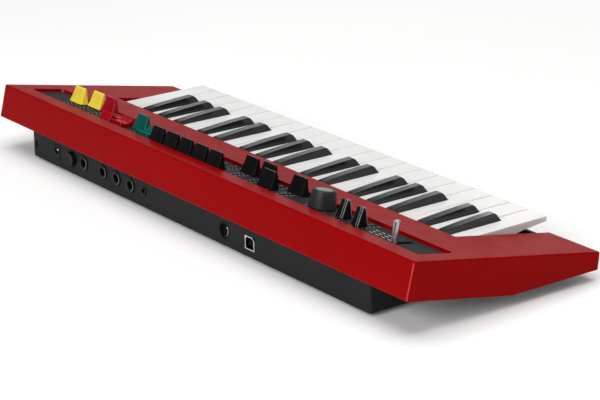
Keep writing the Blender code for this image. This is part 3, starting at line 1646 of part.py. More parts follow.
def frame_shelf(shape):
    world_box(
        shape,
        (-FRAME_HALF, SHELF_FRONT, SHELF_TOP - FRAME_PLATE),
        (FRAME_HALF, CHANNEL_REAR, SHELF_TOP),
    )


def frame_rails(shape):
    half = FRAME_HALF - 0.5 * MM
    world_box(shape, (-half, STOP_RAIL[0], FRAME_TOP - 1 * MM), (half, STOP_RAIL[1], STOP_RAIL[2]))
    for y in FRAME_RIB_YS:
        world_box(
            shape,
            (-half, y, TUB_BOTTOM + TUB_FLOOR + FIT_GAP),
            (half, y + FRAME_PLATE, FRAME_TOP - FRAME_PLATE / 2),
        )
    world_box(
        shape,
        (-half, PIVOT_Y - 3.5 * MM, SHELF_TOP - 1 * MM),
        (half, CHANNEL_REAR - 0.2 * MM, TAIL_UNDER - 0.9 * MM),
    )


def frame_lip(shape):
    half = FRAME_HALF - 1 * MM
    world_box(
        shape, (-half, PIVOT_Y, SHELF_TOP - 0.5 * MM), (half, CHANNEL_REAR - 0.1 * MM, CHANNEL_LIP)
    )


def frame_channel(shape):
    y, z = place(PIVOT_Y, PIVOT_Z)
    reach = CASE_HALF_WIDTH
    add_rod(shape, PIVOT_RADIUS + RUN_GAP, (-reach, y, z), (reach, y, z), 24)


def frame_fins(shape):
    """A fin under each key that slides inside it and keeps it straight."""
    middles = []
    for white in range(WHITE_COUNT):
        sides = white_sides(white)
        middles.append((sides[2] + sides[3]) / 2)
    for octave in range(3):
        for black in range(BLACKS_IN_OCTAVE):
            middles.append(black_left(octave, black) + BLACK_WIDTH / 2)
    for x in middles:
        world_box(
            shape,
            (x - FIN_WIDTH / 2, FIN_YS[0], FRAME_TOP - 1 * MM),
            (x + FIN_WIDTH / 2, FIN_YS[1], FIN_TOP),
        )


def make_key_frame():
    low = FRAME_TOP - FRAME_PLATE
    mesh = mesh_from(
        "key_frame",
        lambda shape: world_box(
            shape, (-FRAME_HALF, FRAME_FRONT, low), (FRAME_HALF, SHELF_FRONT + 1 * MM, FRAME_TOP)
        ),
    )
    frame = add_object("key_frame", mesh, "grey_plastic")
    join(frame, helper_of("frame_plates", frame_plates), helper_of("frame_shelf", frame_shelf))
    join(frame, helper_of("frame_rails", frame_rails), helper_of("frame_lip", frame_lip))
    cut(frame, helper_of("frame_channel", frame_channel))
    join(frame, helper_of("frame_fins", frame_fins))


make_key_frame()
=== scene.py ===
import json
import math

import bmesh
import bpy
from mathutils import Matrix, Vector

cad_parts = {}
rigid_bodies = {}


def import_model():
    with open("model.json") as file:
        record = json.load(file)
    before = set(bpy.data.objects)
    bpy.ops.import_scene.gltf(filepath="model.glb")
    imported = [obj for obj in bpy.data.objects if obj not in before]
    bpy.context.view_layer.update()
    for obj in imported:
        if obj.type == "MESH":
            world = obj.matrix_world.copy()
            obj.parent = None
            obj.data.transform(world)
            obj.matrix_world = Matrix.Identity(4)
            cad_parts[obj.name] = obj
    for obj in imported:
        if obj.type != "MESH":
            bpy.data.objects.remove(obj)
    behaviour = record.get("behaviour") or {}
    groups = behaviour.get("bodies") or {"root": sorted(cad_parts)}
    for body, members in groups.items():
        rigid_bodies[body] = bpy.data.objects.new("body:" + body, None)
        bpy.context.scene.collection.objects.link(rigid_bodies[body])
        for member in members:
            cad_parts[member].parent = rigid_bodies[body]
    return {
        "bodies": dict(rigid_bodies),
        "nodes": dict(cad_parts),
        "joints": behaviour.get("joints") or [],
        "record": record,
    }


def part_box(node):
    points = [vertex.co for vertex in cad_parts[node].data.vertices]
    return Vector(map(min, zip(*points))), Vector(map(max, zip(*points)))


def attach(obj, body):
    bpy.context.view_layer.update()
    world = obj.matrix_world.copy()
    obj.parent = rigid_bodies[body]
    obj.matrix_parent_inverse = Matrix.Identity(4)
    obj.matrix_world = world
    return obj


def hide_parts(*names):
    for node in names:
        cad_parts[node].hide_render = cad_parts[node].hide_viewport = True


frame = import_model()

MM = 0.001
NODES = frame["nodes"]
JOINTS = {joint["child"]: joint for joint in frame["joints"]}
SLOTS = {part["node"]: part["material_slot"] for part in frame["record"]["subparts"]}
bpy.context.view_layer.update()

# Camera: where the photograph was taken from, in metres and radians, for a 600 x 400 picture.
CAMERA_PLACE = (-1.2542, 0.8939, 0.5359)
CAMERA_YAW = 0.938
CAMERA_PITCH = 0.332
CAMERA_ROLL = -0.015
FOCAL_PIXELS = 2154.0
PICTURE_WIDTH = 600.0
SENSOR = 36.0

# Light in the room: the direction of its pale side, and how bright its dim and pale sides are.
PALE_SIDE = (0.806, -0.592, 0.0)
DIM_LEVEL = 0.1
PALE_LEVEL = 0.42
# A dark band round the room, above its horizon: how far the room is dimmed there and overhead.
BAND_LEVEL = 0.35
BAND_HEIGHTS = (0.13, 0.26)
CEILING_LEVEL = 0.75
CEILING_HEIGHTS = (0.5, 0.75)
PALE_REACH = (-0.2, 0.9)
FLOOR_GLOW = 0.05
FLOOR_HALF = 30.0
# Each light's name, place, power in watts, size in metres and tint. All aim at the part's middle.
LIGHT_TARGET = (0.0, 0.0, 0.03)
NEUTRAL = (1.0, 1.0, 1.0)
WARM = (1.0, 0.9, 0.82)
LIGHTS = (
    ("overhead", (0.0, 0.0, 2.5), 49.0, (2.4, 2.4), NEUTRAL),
    ("rear_bank", (-0.7, 2.1, 1.2), 34.0, (1.6, 1.0), NEUTRAL),
    ("front_bank", (0.9, -1.9, 1.1), 6.0, (1.6, 1.0), WARM),
    ("key_sheen", (1.67, -1.5, 0.86), 1.8, (1.2, 0.5), NEUTRAL),
    ("side_bank", (-2.1, -0.7, 0.8), 5.0, (1.0, 0.8), NEUTRAL),
)

# The slope of the panel, from the sliders' axis, and the measure that the controls are placed in.
SLOPE = math.atan2(JOINTS["drawbar_1"]["axis"][2], JOINTS["drawbar_1"]["axis"][1])
KEY_FRONT_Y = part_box("key_01_c")[0][1]
KEY_TOP_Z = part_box("key_01_c")[1][2]
SLOPE_FOOT = -12.11 * MM
PANEL_FACE = -2.4 * MM

# Caps on the sliders: sizes along X and up the slope, and heights above their own base.
CAP_BASE = -1.8 * MM
CAP_SIZE = (17.8 * MM, 8.2 * MM)
CAP_TOP = (14.8 * MM, 2.6 * MM)
CAP_HEIGHT = 12.7 * MM
CAP_LEAN = -0.4 * MM
CAP_EDGE = 1.1 * MM
RIBBED_SIZE = (9.0 * MM, 8.5 * MM)
RIBBED_TOP = (7.5 * MM, 2.6 * MM)
# A little below the CAD's ribbed caps, because the pale lines stand proud of them.
RIBBED_HEIGHT = 13.15 * MM
CAP_SCOOP = 0.5 * MM
CAP_LEVELS = 10
CAP_ROUND_STEPS = 4
RIBBED_SCOOP = 0.2 * MM
RIBS = 6
RIB_HALF = 0.3 * MM
RIB_PROUD = 0.15 * MM
RIB_SUNK = 0.6 * MM
RIB_SIDE = 0.7 * MM
LINE_PROUD = 0.22 * MM
STEM = (1.4 * MM, 4.0 * MM, -8.3 * MM)
STEM_TOP = -0.05 * MM
# Faces that point up more than this take a lighter, glossier look: a painted sheen on the caps'
# tops.
SHEEN_UP = 0.7

# Where each slider rests along the slope. The drawbars that aren't listed stand at the rear stop.
SLIDER_T = {
    "drawbar_4": 126.5 * MM,
    "drawbar_3": 124.8 * MM,
    "drawbar_2": 139.0 * MM,
    "drawbar_1": 126.0 * MM,
    "vibrato_slider": 133.8 * MM,
    "percussion_slider": 124.4 * MM,
    "reverb_slider": 129.8 * MM,
    "drive_slider": 124.4 * MM,
    "octave_slider": 138.4 * MM,
    "volume_slider": 135.9 * MM,
}
CAP_REAR_STOP = 145.4 * MM
RIBBED = ("octave_slider", "volume_slider")
SLIDERS = [node for node in NODES if node.startswith("drawbar_") or node in SLIDER_T]

# Other controls: the rockers' section, and places on the slope.
ROCKER_PIVOT = (137.5 * MM, -7.2 * MM)
ROCKER_TILT = math.radians(12.0)
ROCKER_HALF_WIDTH = 7.2 * MM
ROCKER_HALF_TOP = 5.5 * MM
ROCKER_HALF_BASE = 7.9 * MM
ROCKER_TOP = 10.6 * MM
ROCKER_MIDDLE = 8.4 * MM
ROCKER_BASE = 2.7 * MM
ROCKER_STEPS = 20
ROCKER_EDGE = 0.7 * MM
KNOB_PLACE = (-127.0 * MM, 134.0 * MM)
KNOB_RADIUS = 8.7 * MM
KNOB_RIM = 1.6 * MM
KNOB_TOP_Z = 11.5 * MM
LEVER_PLACE = (-216.0 * MM, 142.0 * MM)
LEVER_TOP = 13.6 * MM
LEVER_RADIUS = 2.3 * MM
LEVER_DOME = 0.8 * MM
SHAFT_END = -9.7 * MM

# Power button, measured out of the rear wall.
BUTTON_RADIUS = 5.4 * MM
BUTTON_RIM = 0.8 * MM
BUTTON_PROUD = 3.0 * MM
BUTTON_INNER = -3.1 * MM
BUTTON_FLANGE = 6.6 * MM
BUTTON_FLANGE_DEPTH = 2.0 * MM

# Edges: their roundings, and the turn between two faces that counts as an edge, in degrees.
WHITE_EDGE = 0.7 * MM
BLACK_EDGE = 0.35 * MM
DOOR_EDGE = 0.4 * MM
FOOT_EDGE = 0.5 * MM
EDGE_SEGMENTS = 3
EDGE_TURN = 32.0
SHARP_TURN = 35.0
CASE_SHARP_TURN = 50.0
TURNED_SHARP_TURN = 30.0
WELD = 0.00001
FLAT_TURN = 1.0

# Painted highlight on the red case's upright rear corners: the faces it covers, by how far they
# point back, across and up.
CORNER_BACK = (0.35, 0.93)
CORNER_ACROSS = (0.3, 0.93)
CORNER_UP = 0.4

# Tops of the two circuit boards' plates. All that stands above a plate is dark.
JACK_BOARD_TOP = -25.8 * MM
PANEL_BOARD_TOP = -12.8 * MM
HAIR = 0.05 * MM

# Sockets on the rear wall: distance from the middle and height, in the key measure.
REAR_WALL = 163.3 * MM
JACKS = (
    (141.9 * MM, -18.1 * MM),
    (113.6 * MM, -18.0 * MM),
    (93.7 * MM, -18.2 * MM),
    (73.9 * MM, -18.4 * MM),
)
MINI_JACK = (55.2 * MM, -18.3 * MM)
POWER_INLET = (183.5 * MM, -17.6 * MM)
DIN_SOCKET = (-51.6 * MM, -19.7 * MM)
DATA_SOCKET = (-83.2 * MM, -20.6 * MM)
POWER_BUTTON = (160.0 * MM, -18.9 * MM)
RING_SIDES = 48
ARC_SIDES = 24

# Printed marks: their height over the panel, and the ends of the sliders' scales on the slope.
MARK_TOP = PANEL_FACE + 0.06 * MM
MARK_LOW = PANEL_FACE - 0.04 * MM
SCALE_TICKS = 7
SLOT_FRONT = 122.0 * MM
SLOT_REAR = 147.8 * MM
TICK_START = 1.7 * MM
TICK_LONG = 3.4 * MM
TICK_SHORT = 2.4 * MM
TICK_HALF = 0.22 * MM
KNOB_DOTS = 5
KNOB_DOT_RADIUS = 12.2 * MM
KNOB_DOT_HALF = 0.5 * MM
DASH_ROWS = (131.5 * MM, 135.5 * MM, 139.5 * MM)
DASHES = 4
DASH_START = -184.0 * MM
DASH_PITCH = 6.4 * MM
DASH_SHIFT = 1.5 * MM
DASH_LENGTH = 3.6 * MM
DASH_HALF = 0.3 * MM

# Screws in the wing floors: their distance back, and the underside's height there.
SCREW_YS = (22.0 * MM, 104.0 * MM)
UNDERSIDE = {SCREW_YS[0]: -25.1 * MM, SCREW_YS[1]: -19.8 * MM}
WING_MIDDLE = 240.0 * MM
SCREW_RADIUS = 1.4 * MM


def place(y, z):
    """World Y and Z of a point in the key measure."""
    return y + KEY_FRONT_Y, z + KEY_TOP_Z


def panel_matrix(x, t, n):
    """Frame on the slope: its X is world X, its Y runs up the slope, its Z stands off the panel."""
    y = t * math.cos(SLOPE) - n * math.sin(SLOPE)
    z = SLOPE_FOOT + t * math.sin(SLOPE) + n * math.cos(SLOPE)
    return Matrix.Translation((x, *place(y, z))) @ Matrix.Rotation(SLOPE, 4, "X")


def rear_matrix(spot, proud=0.0):
    """Frame on the rear wall at a socket: its Z points out of the wall."""
    y, z = place(REAR_WALL + proud, spot[1])
    return Matrix.Translation((spot[0], y, z)) @ Matrix.Rotation(math.radians(-90), 4, "X")


# Materials


# The part of a noise's values that is spread over a whole range of colour or gloss.
NOISE_REACH = (0.3, 0.7)


def mapped(tree, source, reach, levels):
    """A node's value taken from one range to another."""
    ramp = tree.nodes.new("ShaderNodeMapRange")
    for name, value in zip(("From Min", "From Max", "To Min", "To Max"), (*reach, *levels)):
        ramp.inputs[name].default_value = value
    tree.links.new(source, ramp.inputs["Value"])
    return ramp.outputs["Result"]


class Recipe:
    """A material's node tree, built step by step on a Principled shader."""

    def __init__(self, name):
        self.material = bpy.data.materials.new(name)
        self.material.use_nodes = True
        self.tree = self.material.node_tree
        self.shader = self.tree.nodes["Principled BSDF"]
        coordinates = self.tree.nodes.new("ShaderNodeTexCoord")
        self.where = coordinates.outputs["Object"]

    def noise(self, scale, detail=3.0, stretch=None):
        node = self.tree.nodes.new("ShaderNodeTexNoise")
        node.inputs["Scale"].default_value = scale
        node.inputs["Detail"].default_value = detail
        where = self.where
        if stretch:
            mapping = self.tree.nodes.new("ShaderNodeMapping")
            mapping.inputs["Scale"].default_value = stretch
            self.tree.links.new(where, mapping.inputs["Vector"])
            where = mapping.outputs["Vector"]
        self.tree.links.new(where, node.inputs["Vector"])
        return node.outputs["Fac"]

    def spread(self, source, low, high):
        """A noise value turned into the range from low to high."""
        return mapped(self.tree, source, NOISE_REACH, (low, high))

    def colour(self, source, dark, light):
        ramp = self.tree.nodes.new("ShaderNodeValToRGB")
        for element, position, colour in zip(
            ramp.color_ramp.elements, NOISE_REACH, (dark, light)
        ):
            element.position = position
            element.color = (*colour, 1.0)
        self.tree.links.new(source, ramp.inputs["Fac"])
        self.tree.links.new(ramp.outputs["Color"], self.shader.inputs["Base Color"])

    def rough(self, source, low, high):
        self.tree.links.new(self.spread(source, low, high), self.shader.inputs["Roughness"])

    def bump(self, source, distance, strength=1.0):
        node = self.tree.nodes.new("ShaderNodeBump")
        node.inputs["Strength"].default_value = strength
        node.inputs["Distance"].default_value = distance
        self.tree.links.new(source, node.inputs["Height"])
        self.tree.links.new(node.outputs["Normal"], self.shader.inputs["Normal"])

    def set(self, **values):
        for name, value in values.items():
            self.shader.inputs[name.replace("_", " ")].default_value = value
        return self.material


def shade(colour, factor):
    return tuple(min(1.0, channel * factor) for channel in colour)


def moulded(name, colour, rough, grain, depth, vary=0.06, **values):
    """Moulded plastic: a slow drift in its colour and gloss, and a fine grain in its surface."""
    recipe = Recipe(name)
    drift = recipe.noise(14.0, 2.0)
    recipe.colour(drift, shade(colour, 1 - vary), shade(colour, 1 + vary))
    recipe.rough(recipe.noise(60.0, 4.0), rough - 0.04, rough + 0.04)
    recipe.bump(recipe.noise(grain, 2.0), depth)
    return recipe.set(**values)


def brushed(name, colour, rough):
    """Turned metal, with fine lines round it."""
    recipe = Recipe(name)
    lines = recipe.noise(900.0, 2.0, stretch=(0.05, 0.05, 6.0))
    recipe.colour(lines, shade(colour, 0.92), colour)
    recipe.rough(lines, rough, rough + 0.08)
    recipe.bump(lines, 0.00001, 0.4)
    return recipe.set(Metallic=1.0)


def reflection_painted(name):
    """Polished metal whose colour is painted in dark and bright lines along it: painted reflections
    of its surroundings.
    """
    recipe = Recipe(name)
    lines = recipe.noise(330.0, 1.0, stretch=(1.0, 1.0, 0.02))
    recipe.colour(lines, (0.05, 0.05, 0.055), (0.9, 0.9, 0.92))
    recipe.rough(lines, 0.12, 0.2)
    return recipe.set(Metallic=0.75)


LOOKS = {
    "red_plastic": moulded(
        "red_shell",
        (0.278, 0.0, 0.0008),
        0.34,
        1500.0,
        0.00002,
        0.04,
        Specular_IOR_Level=0.035,
        Specular_Tint=(1.0, 0.88, 0.8, 1.0),
    ),
    "black_plastic": moulded(
        "black_shell", (0.019, 0.019, 0.02), 0.52, 1300.0, 0.00005, Specular_IOR_Level=0.06
    ),
    "panel_plastic": moulded(
        "panel_face", (0.03, 0.032, 0.032), 0.46, 1700.0, 0.00003, Specular_IOR_Level=0.012
    ),
    "white_key": moulded(
        "white_key_gloss",
        (0.76, 0.76, 0.75),
        0.22,
        500.0,
        0.000005,
        0.015,
        Specular_IOR_Level=0.25,
        Subsurface_Weight=0.5,
        Subsurface_Radius=(1.0, 1.0, 1.0),
        Subsurface_Scale=0.0015,
    ),
    "black_key": moulded("black_key_satin", (0.011, 0.012, 0.012), 0.18, 1600.0, 0.00001),
    "black_cap": moulded(
        "black_cap_satin", (0.0065, 0.0065, 0.0065), 0.36, 1500.0, 0.00002, Specular_IOR_Level=0.06
    ),
    "yellow_cap": moulded("yellow_cap_gloss", (0.94, 0.72, 0.055), 0.3, 900.0, 0.00001, 0.03),
    "green_cap": moulded(
        "green_cap_gloss", (0.0, 0.09, 0.075), 0.24, 900.0, 0.00001, Specular_IOR_Level=0.2
    ),
    "red_cap": moulded(
        "red_cap_gloss", (0.34, 0.0, 0.008), 0.24, 900.0, 0.00001, Specular_IOR_Level=0.2
    ),
    "steel": reflection_painted("chrome_lever"),
    "board": moulded("board_lacquer", (0.015, 0.1, 0.04), 0.4, 1200.0, 0.00002),
    "grey_plastic": moulded(
        "grey_moulding", (0.04, 0.04, 0.042), 0.4, 1200.0, 0.00003, Specular_IOR_Level=0.3
    ),
    "paper": moulded("cone_paper", (0.02, 0.02, 0.02), 0.8, 2200.0, 0.00006, 0.15),
    "rubber": moulded("foot_rubber", (0.02, 0.02, 0.02), 0.85, 1800.0, 0.00006, 0.12),
}
METAL = brushed("socket_metal", (0.66, 0.66, 0.68), 0.22)
# Pale grey: print on the panel and the ribbed caps, and a painted highlight near the ribbed caps'
# edge.
INK_AND_HIGHLIGHT = moulded("pale_ink", (0.36, 0.39, 0.38), 0.5, 1500.0, 0.000005)
# White: print on the knob and the panel, and a painted glint on the power inlet's pin.
WHITE_INK_AND_GLINT = moulded("white_ink", (0.72, 0.72, 0.7), 0.45, 1500.0, 0.000005)
# Near-black: the boards' own black parts, and painted shade in the jacks' holes and round the inlet
# plate.
NEAR_BLACK_AND_SHADE = moulded(
    "socket_depth", (0.004, 0.004, 0.004), 0.6, 1200.0, 0.00002, Specular_IOR_Level=0.05
)
NUT = moulded("socket_nut", (0.007, 0.007, 0.007), 0.35, 1200.0, 0.00001, Specular_IOR_Level=0.1)
GLINT = brushed("socket_glint", (0.3, 0.3, 0.31), 0.3)
# Lighter red for the case's upright rear corners: a painted highlight.
LIT_EDGE = moulded("red_edge", (0.5, 0.03, 0.025), 0.3, 1500.0, 0.00001, 0.04)
# Lighter black for the caps' top faces: a painted sheen.
TOP_SHEEN = moulded("cap_crown", (0.02, 0.02, 0.02), 0.3, 1500.0, 0.00001)
KNOB_BODY = moulded(
    "knob_body", (0.024, 0.024, 0.025), 0.42, 1200.0, 0.00003, Specular_IOR_Level=0.3
)
KNOB_TOP = moulded("knob_top", (0.2, 0.205, 0.205), 0.25, 1200.0, 0.00001)
# Lighter red and green for the rockers' rounded edges: painted highlights.
EDGE_HIGHLIGHTS = {
    "red_cap": moulded(
        "red_cap_edge", (0.46, 0.02, 0.03), 0.3, 900.0, 0.00001, Specular_IOR_Level=0.3
    ),
    "green_cap": moulded(
        "green_cap_edge", (0.02, 0.2, 0.17), 0.3, 900.0, 0.00001, Specular_IOR_Level=0.3
    ),
}


# Building and dressing pieces


def finish_piece(name, shape, look, body, matrix=None, replaces=(), sharp=SHARP_TURN):
    """Turns a bmesh into a piece that rides on a CAD body."""
    bmesh.ops.recalc_face_normals(shape, faces=shape.faces)
    mesh = bpy.data.meshes.new(name)
    shape.to_mesh(mesh)
    shape.free()
    mesh.shade_smooth()
    mesh.set_sharp_from_angle(angle=math.radians(sharp))
    mesh.materials.append(look)
    piece = bpy.data.objects.new(name, mesh)
    bpy.context.scene.collection.objects.link(piece)
    if matrix is not None:
        piece.matrix_world = matrix
    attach(piece, body)
    if replaces:
        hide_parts(*replaces)
    return piece


def body_of(node):
    """The node itself where it moves, and otherwise the case."""
    return node if node in frame["bodies"] else "case"


def round_edges(piece, width, segments):
    bevel = piece.modifiers.new("round_edges", "BEVEL")
    bevel.width = width
    bevel.segments = segments
    bevel.limit_method = "ANGLE"
    bevel.angle_limit = math.radians(EDGE_TURN)
    bevel.harden_normals = True
    return bevel


def refined(node, width=0.0, sharp=SHARP_TURN):
    """A finer skin for a node: its facets merged into clean faces and its edges rounded."""
    shape = bmesh.new()
    shape.from_mesh(NODES[node].data)
    bmesh.ops.remove_doubles(shape, verts=shape.verts, dist=WELD)
    bmesh.ops.dissolve_limit(
        shape,
        angle_limit=math.radians(FLAT_TURN),
        verts=shape.verts,
        edges=shape.edges,
    )
    name = node + "_skin"
    slot = SLOTS[node]
    piece = finish_piece(name, shape, LOOKS[slot], body_of(node), None, (node,), sharp)
    if width:
        round_edges(piece, width, EDGE_SEGMENTS)
    else:
        modifier = piece.modifiers.new("even_normals", "WEIGHTED_NORMAL")
        modifier.keep_sharp = True
    return piece


def loft(shape, rings):
    """Skins a stack of closed rings of points, and closes both ends."""
    made = [[shape.verts.new(point) for point in ring] for ring in rings]
    count = len(made[0])
    for lower, upper in zip(made, made[1:]):
        for i in range(count):
            j = (i + 1) % count
            shape.faces.new((lower[i], lower[j], upper[j], upper[i]))
    shape.faces.new(list(reversed(made[0])))
    shape.faces.new(made[-1])


def rounded_ring(half_x, half_y, radius, middle_y, z, steps=5):
    """A rectangle with round corners, as a ring of points at height z."""
    radius = min(radius, half_x * 0.95, half_y * 0.95)
    points = []
    for corner, (sx, sy) in enumerate(((1, 1), (-1, 1), (-1, -1), (1, -1))):
        for step in range(steps + 1):
            angle = math.pi / 2 * (corner + step / steps)
            x = sx * (half_x - radius) + radius * math.cos(angle)
            y = sy * (half_y - radius) + radius * math.sin(angle) + middle_y
            points.append((x, y, z))
    return points


def add_box(shape, low, high):
    size = [b - a for a, b in zip(low, high)]
    middle = [(b + a) / 2 for a, b in zip(low, high)]
    matrix = Matrix.Translation(middle) @ Matrix.Diagonal((*size, 1.0))
    bmesh.ops.create_cube(shape, size=1.0, matrix=matrix)


def turned_shape(profile, sides):
    """A round solid from (radius, height) points, from its top middle to its bottom middle."""
    shape = bmesh.new()
    rings = []
    for radius, height in profile:
        if radius == 0.0:
            rings.append([shape.verts.new((0.0, 0.0, height))])
            continue
        ring = []
        for side in range(sides):
            angle = math.tau * side / sides
            point = (radius * math.cos(angle), radius * math.sin(angle), height)
            ring.append(shape.verts.new(point))
        rings.append(ring)
    for upper, lower in zip(rings, rings[1:]):
        for i in range(sides):
            j = (i + 1) % sides
            corners = [upper[i % len(upper)], upper[j % len(upper)]]
            corners += [lower[j % len(lower)], lower[i % len(lower)]]
            shape.faces.new(list(dict.fromkeys(corners)))
    return shape


def arc(middle, radius, start, end, steps=5):
    """Points of a (radius, height) arc between two angles in degrees."""
    points = []
    for step in range(steps + 1):
        angle = math.radians(start + (end - start) * step / steps)
        points.append((middle[0] + radius * math.cos(angle), middle[1] + radius * math.sin(angle)))
    return points


# Case, frame, boards, speakers, door and feet keep the CAD's form with softened edges


for plain in ("lower_case", "control_panel", "key_frame"):
    refined(plain)


def dressed_case():
    """The red case, with softly rounded edges and a painted highlight in lighter red on its upright
    rear corners.
    """
    piece = refined("upper_case", sharp=CASE_SHARP_TURN)
    piece.data.materials.append(LIT_EDGE)
    for face in piece.data.polygons:
        across, back, up = face.normal
        facing_back = CORNER_BACK[0] < back < CORNER_BACK[1]
        facing_across = CORNER_ACROSS[0] < abs(across) < CORNER_ACROSS[1]
        if facing_back and facing_across and up < CORNER_UP:
            face.material_index = 1


dressed_case()


def dressed_board(node, matrix, board_top):
    """A circuit board whose sockets, pots and switches are dark and whose plate is green."""
    piece = refined(node)
    piece.data.materials.append(NEAR_BLACK_AND_SHADE)
    into_plate = matrix.inverted()
    for face in piece.data.polygons:
        if (into_plate @ face.center).z > board_top:
            face.material_index = 1


dressed_board("jack_board", Matrix.Translation((0.0, *place(0.0, 0.0))), JACK_BOARD_TOP + HAIR)
dressed_board("panel_board", panel_matrix(0.0, 0.0, 0.0), PANEL_BOARD_TOP + HAIR)
refined("battery_door", DOOR_EDGE)
for foot in ("foot_1", "foot_2", "foot_3", "foot_4"):
    refined(foot, FOOT_EDGE)
for cone in ("speaker_left", "speaker_right"):
    refined(cone)


# Keys: every key gets rounded edges on its own body


for node in NODES:
    if SLOTS[node] == "white_key":
        refined(node, WHITE_EDGE)
    elif SLOTS[node] == "black_key":
        refined(node, BLACK_EDGE)


# Sliding caps


def slider_shape(size, top, lean, scoop, cap_height):
    """A wedge cap with scooped faces and a rounded top, and its stem below."""
    shape = bmesh.new()
    edge = CAP_EDGE
    rings = []
    for level in range(CAP_LEVELS + 1):
        share = level / CAP_LEVELS
        hollow = scoop * math.sin(math.pi * share)
        half_x = (size[0] + (top[0] - size[0]) * share) / 2 - hollow * 0.3
        half_y = (size[1] + (top[1] - size[1]) * share) / 2 - hollow * 0.5
        height = share * (cap_height - edge)
        rings.append(rounded_ring(half_x, half_y, edge, lean * share, height))
    for step in range(1, CAP_ROUND_STEPS + 1):
        angle = math.pi / 2 * step / CAP_ROUND_STEPS
        inset = edge * (1 - math.cos(angle))
        height = cap_height - edge + edge * math.sin(angle)
        half_x = top[0] / 2 - inset
        half_y = top[1] / 2 - inset
        rings.append(rounded_ring(half_x, half_y, edge, lean, height))
    loft(shape, rings)
    add_box(
        shape,
        (-STEM[0] / 2, -STEM[1] / 2, STEM[2]),
        (STEM[0] / 2, STEM[1] / 2, STEM_TOP),
    )
    return shape


def slider_x(node):
    """X of the middle of a slider's cap, from its node's box."""
    low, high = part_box(node)
    return (low[0] + high[0]) / 2


def add_painted_sheen(piece):
    """Gives the top of a black cap a lighter colour and more gloss: a painted sheen."""
    piece.data.materials.append(TOP_SHEEN)
    for face in piece.data.polygons:
        if face.normal.z > SHEEN_UP:
            face.material_index = 1


def finish_cap(node, shape, matrix):
    slot = SLOTS[node]
    return finish_piece(
        node + "_cap", shape, LOOKS[slot], node, matrix, (node,), TURNED_SHARP_TURN
    )


def make_wedge(node):
    matrix = panel_matrix(slider_x(node), SLIDER_T.get(node, CAP_REAR_STOP), CAP_BASE)
    shape = slider_shape(CAP_SIZE, CAP_TOP, CAP_LEAN, CAP_SCOOP, CAP_HEIGHT)
    piece = finish_cap(node, shape, matrix)
    if SLOTS[node] == "black_cap":
        add_painted_sheen(piece)


for node in SLIDERS:
    if node not in RIBBED:
        make_wedge(node)


def add_cap_line(node, ending, x, half, look, matrix):
    """A pale line over a ribbed cap, from the foot of its front to the foot of its rear."""
    line = bmesh.new()
    path = [(-RIBBED_SIZE[1] / 2, 0.0), (-RIBBED_TOP[1] / 2, RIBBED_HEIGHT)]
    path += [(RIBBED_TOP[1] / 2, RIBBED_HEIGHT), (RIBBED_SIZE[1] / 2, 0.0)]
    for (y_low, z_low), (y_high, z_high) in zip(path, path[1:]):
        along = Vector((0.0, y_high - y_low, z_high - z_low))
        turn = along.to_track_quat("Y", "Z").to_matrix().to_4x4()
        middle = Vector((x, (y_low + y_high) / 2, (z_low + z_high) / 2))
        scale = Matrix.Diagonal((2 * half, along.length * 0.98, 2 * LINE_PROUD, 1.0))
        bmesh.ops.create_cube(line, size=1.0, matrix=Matrix.Translation(middle) @ turn @ scale)
    finish_piece(node + ending, line, look, node, matrix)


def make_ribbed(node):
    """A narrow cap with ribs across both faces and two pale lines over its left half: a printed
    line, and a painted highlight near its edge.
    """
    matrix = panel_matrix(slider_x(node), SLIDER_T[node], CAP_BASE)
    shape = slider_shape(RIBBED_SIZE, RIBBED_TOP, 0.0, RIBBED_SCOOP, RIBBED_HEIGHT)
    for rib in range(RIBS):
        share = (rib + 0.7) / RIBS * 0.88
        half_x = (RIBBED_SIZE[0] + (RIBBED_TOP[0] - RIBBED_SIZE[0]) * share) / 2 - RIB_SIDE
        half_y = (RIBBED_SIZE[1] + (RIBBED_TOP[1] - RIBBED_SIZE[1]) * share) / 2
        height = share * (RIBBED_HEIGHT - CAP_EDGE)
        for side in (-1, 1):
            outer = side * (half_y + RIB_PROUD)
            inner = side * (half_y - RIB_SUNK)
            low, high = sorted((inner, outer))
            add_box(shape, (-half_x, low, height - RIB_HALF), (half_x, high, height + RIB_HALF))
    add_painted_sheen(finish_cap(node, shape, matrix))
    add_cap_line(node, "_line", -1.4 * MM, 0.14 * MM, INK_AND_HIGHLIGHT, matrix)
    # The pale line near the cap's edge is a painted highlight.
    add_cap_line(node, "_edge_line", -3.4 * MM, 0.2 * MM, INK_AND_HIGHLIGHT, matrix)


for node in RIBBED:
    make_ribbed(node)


# Rockers


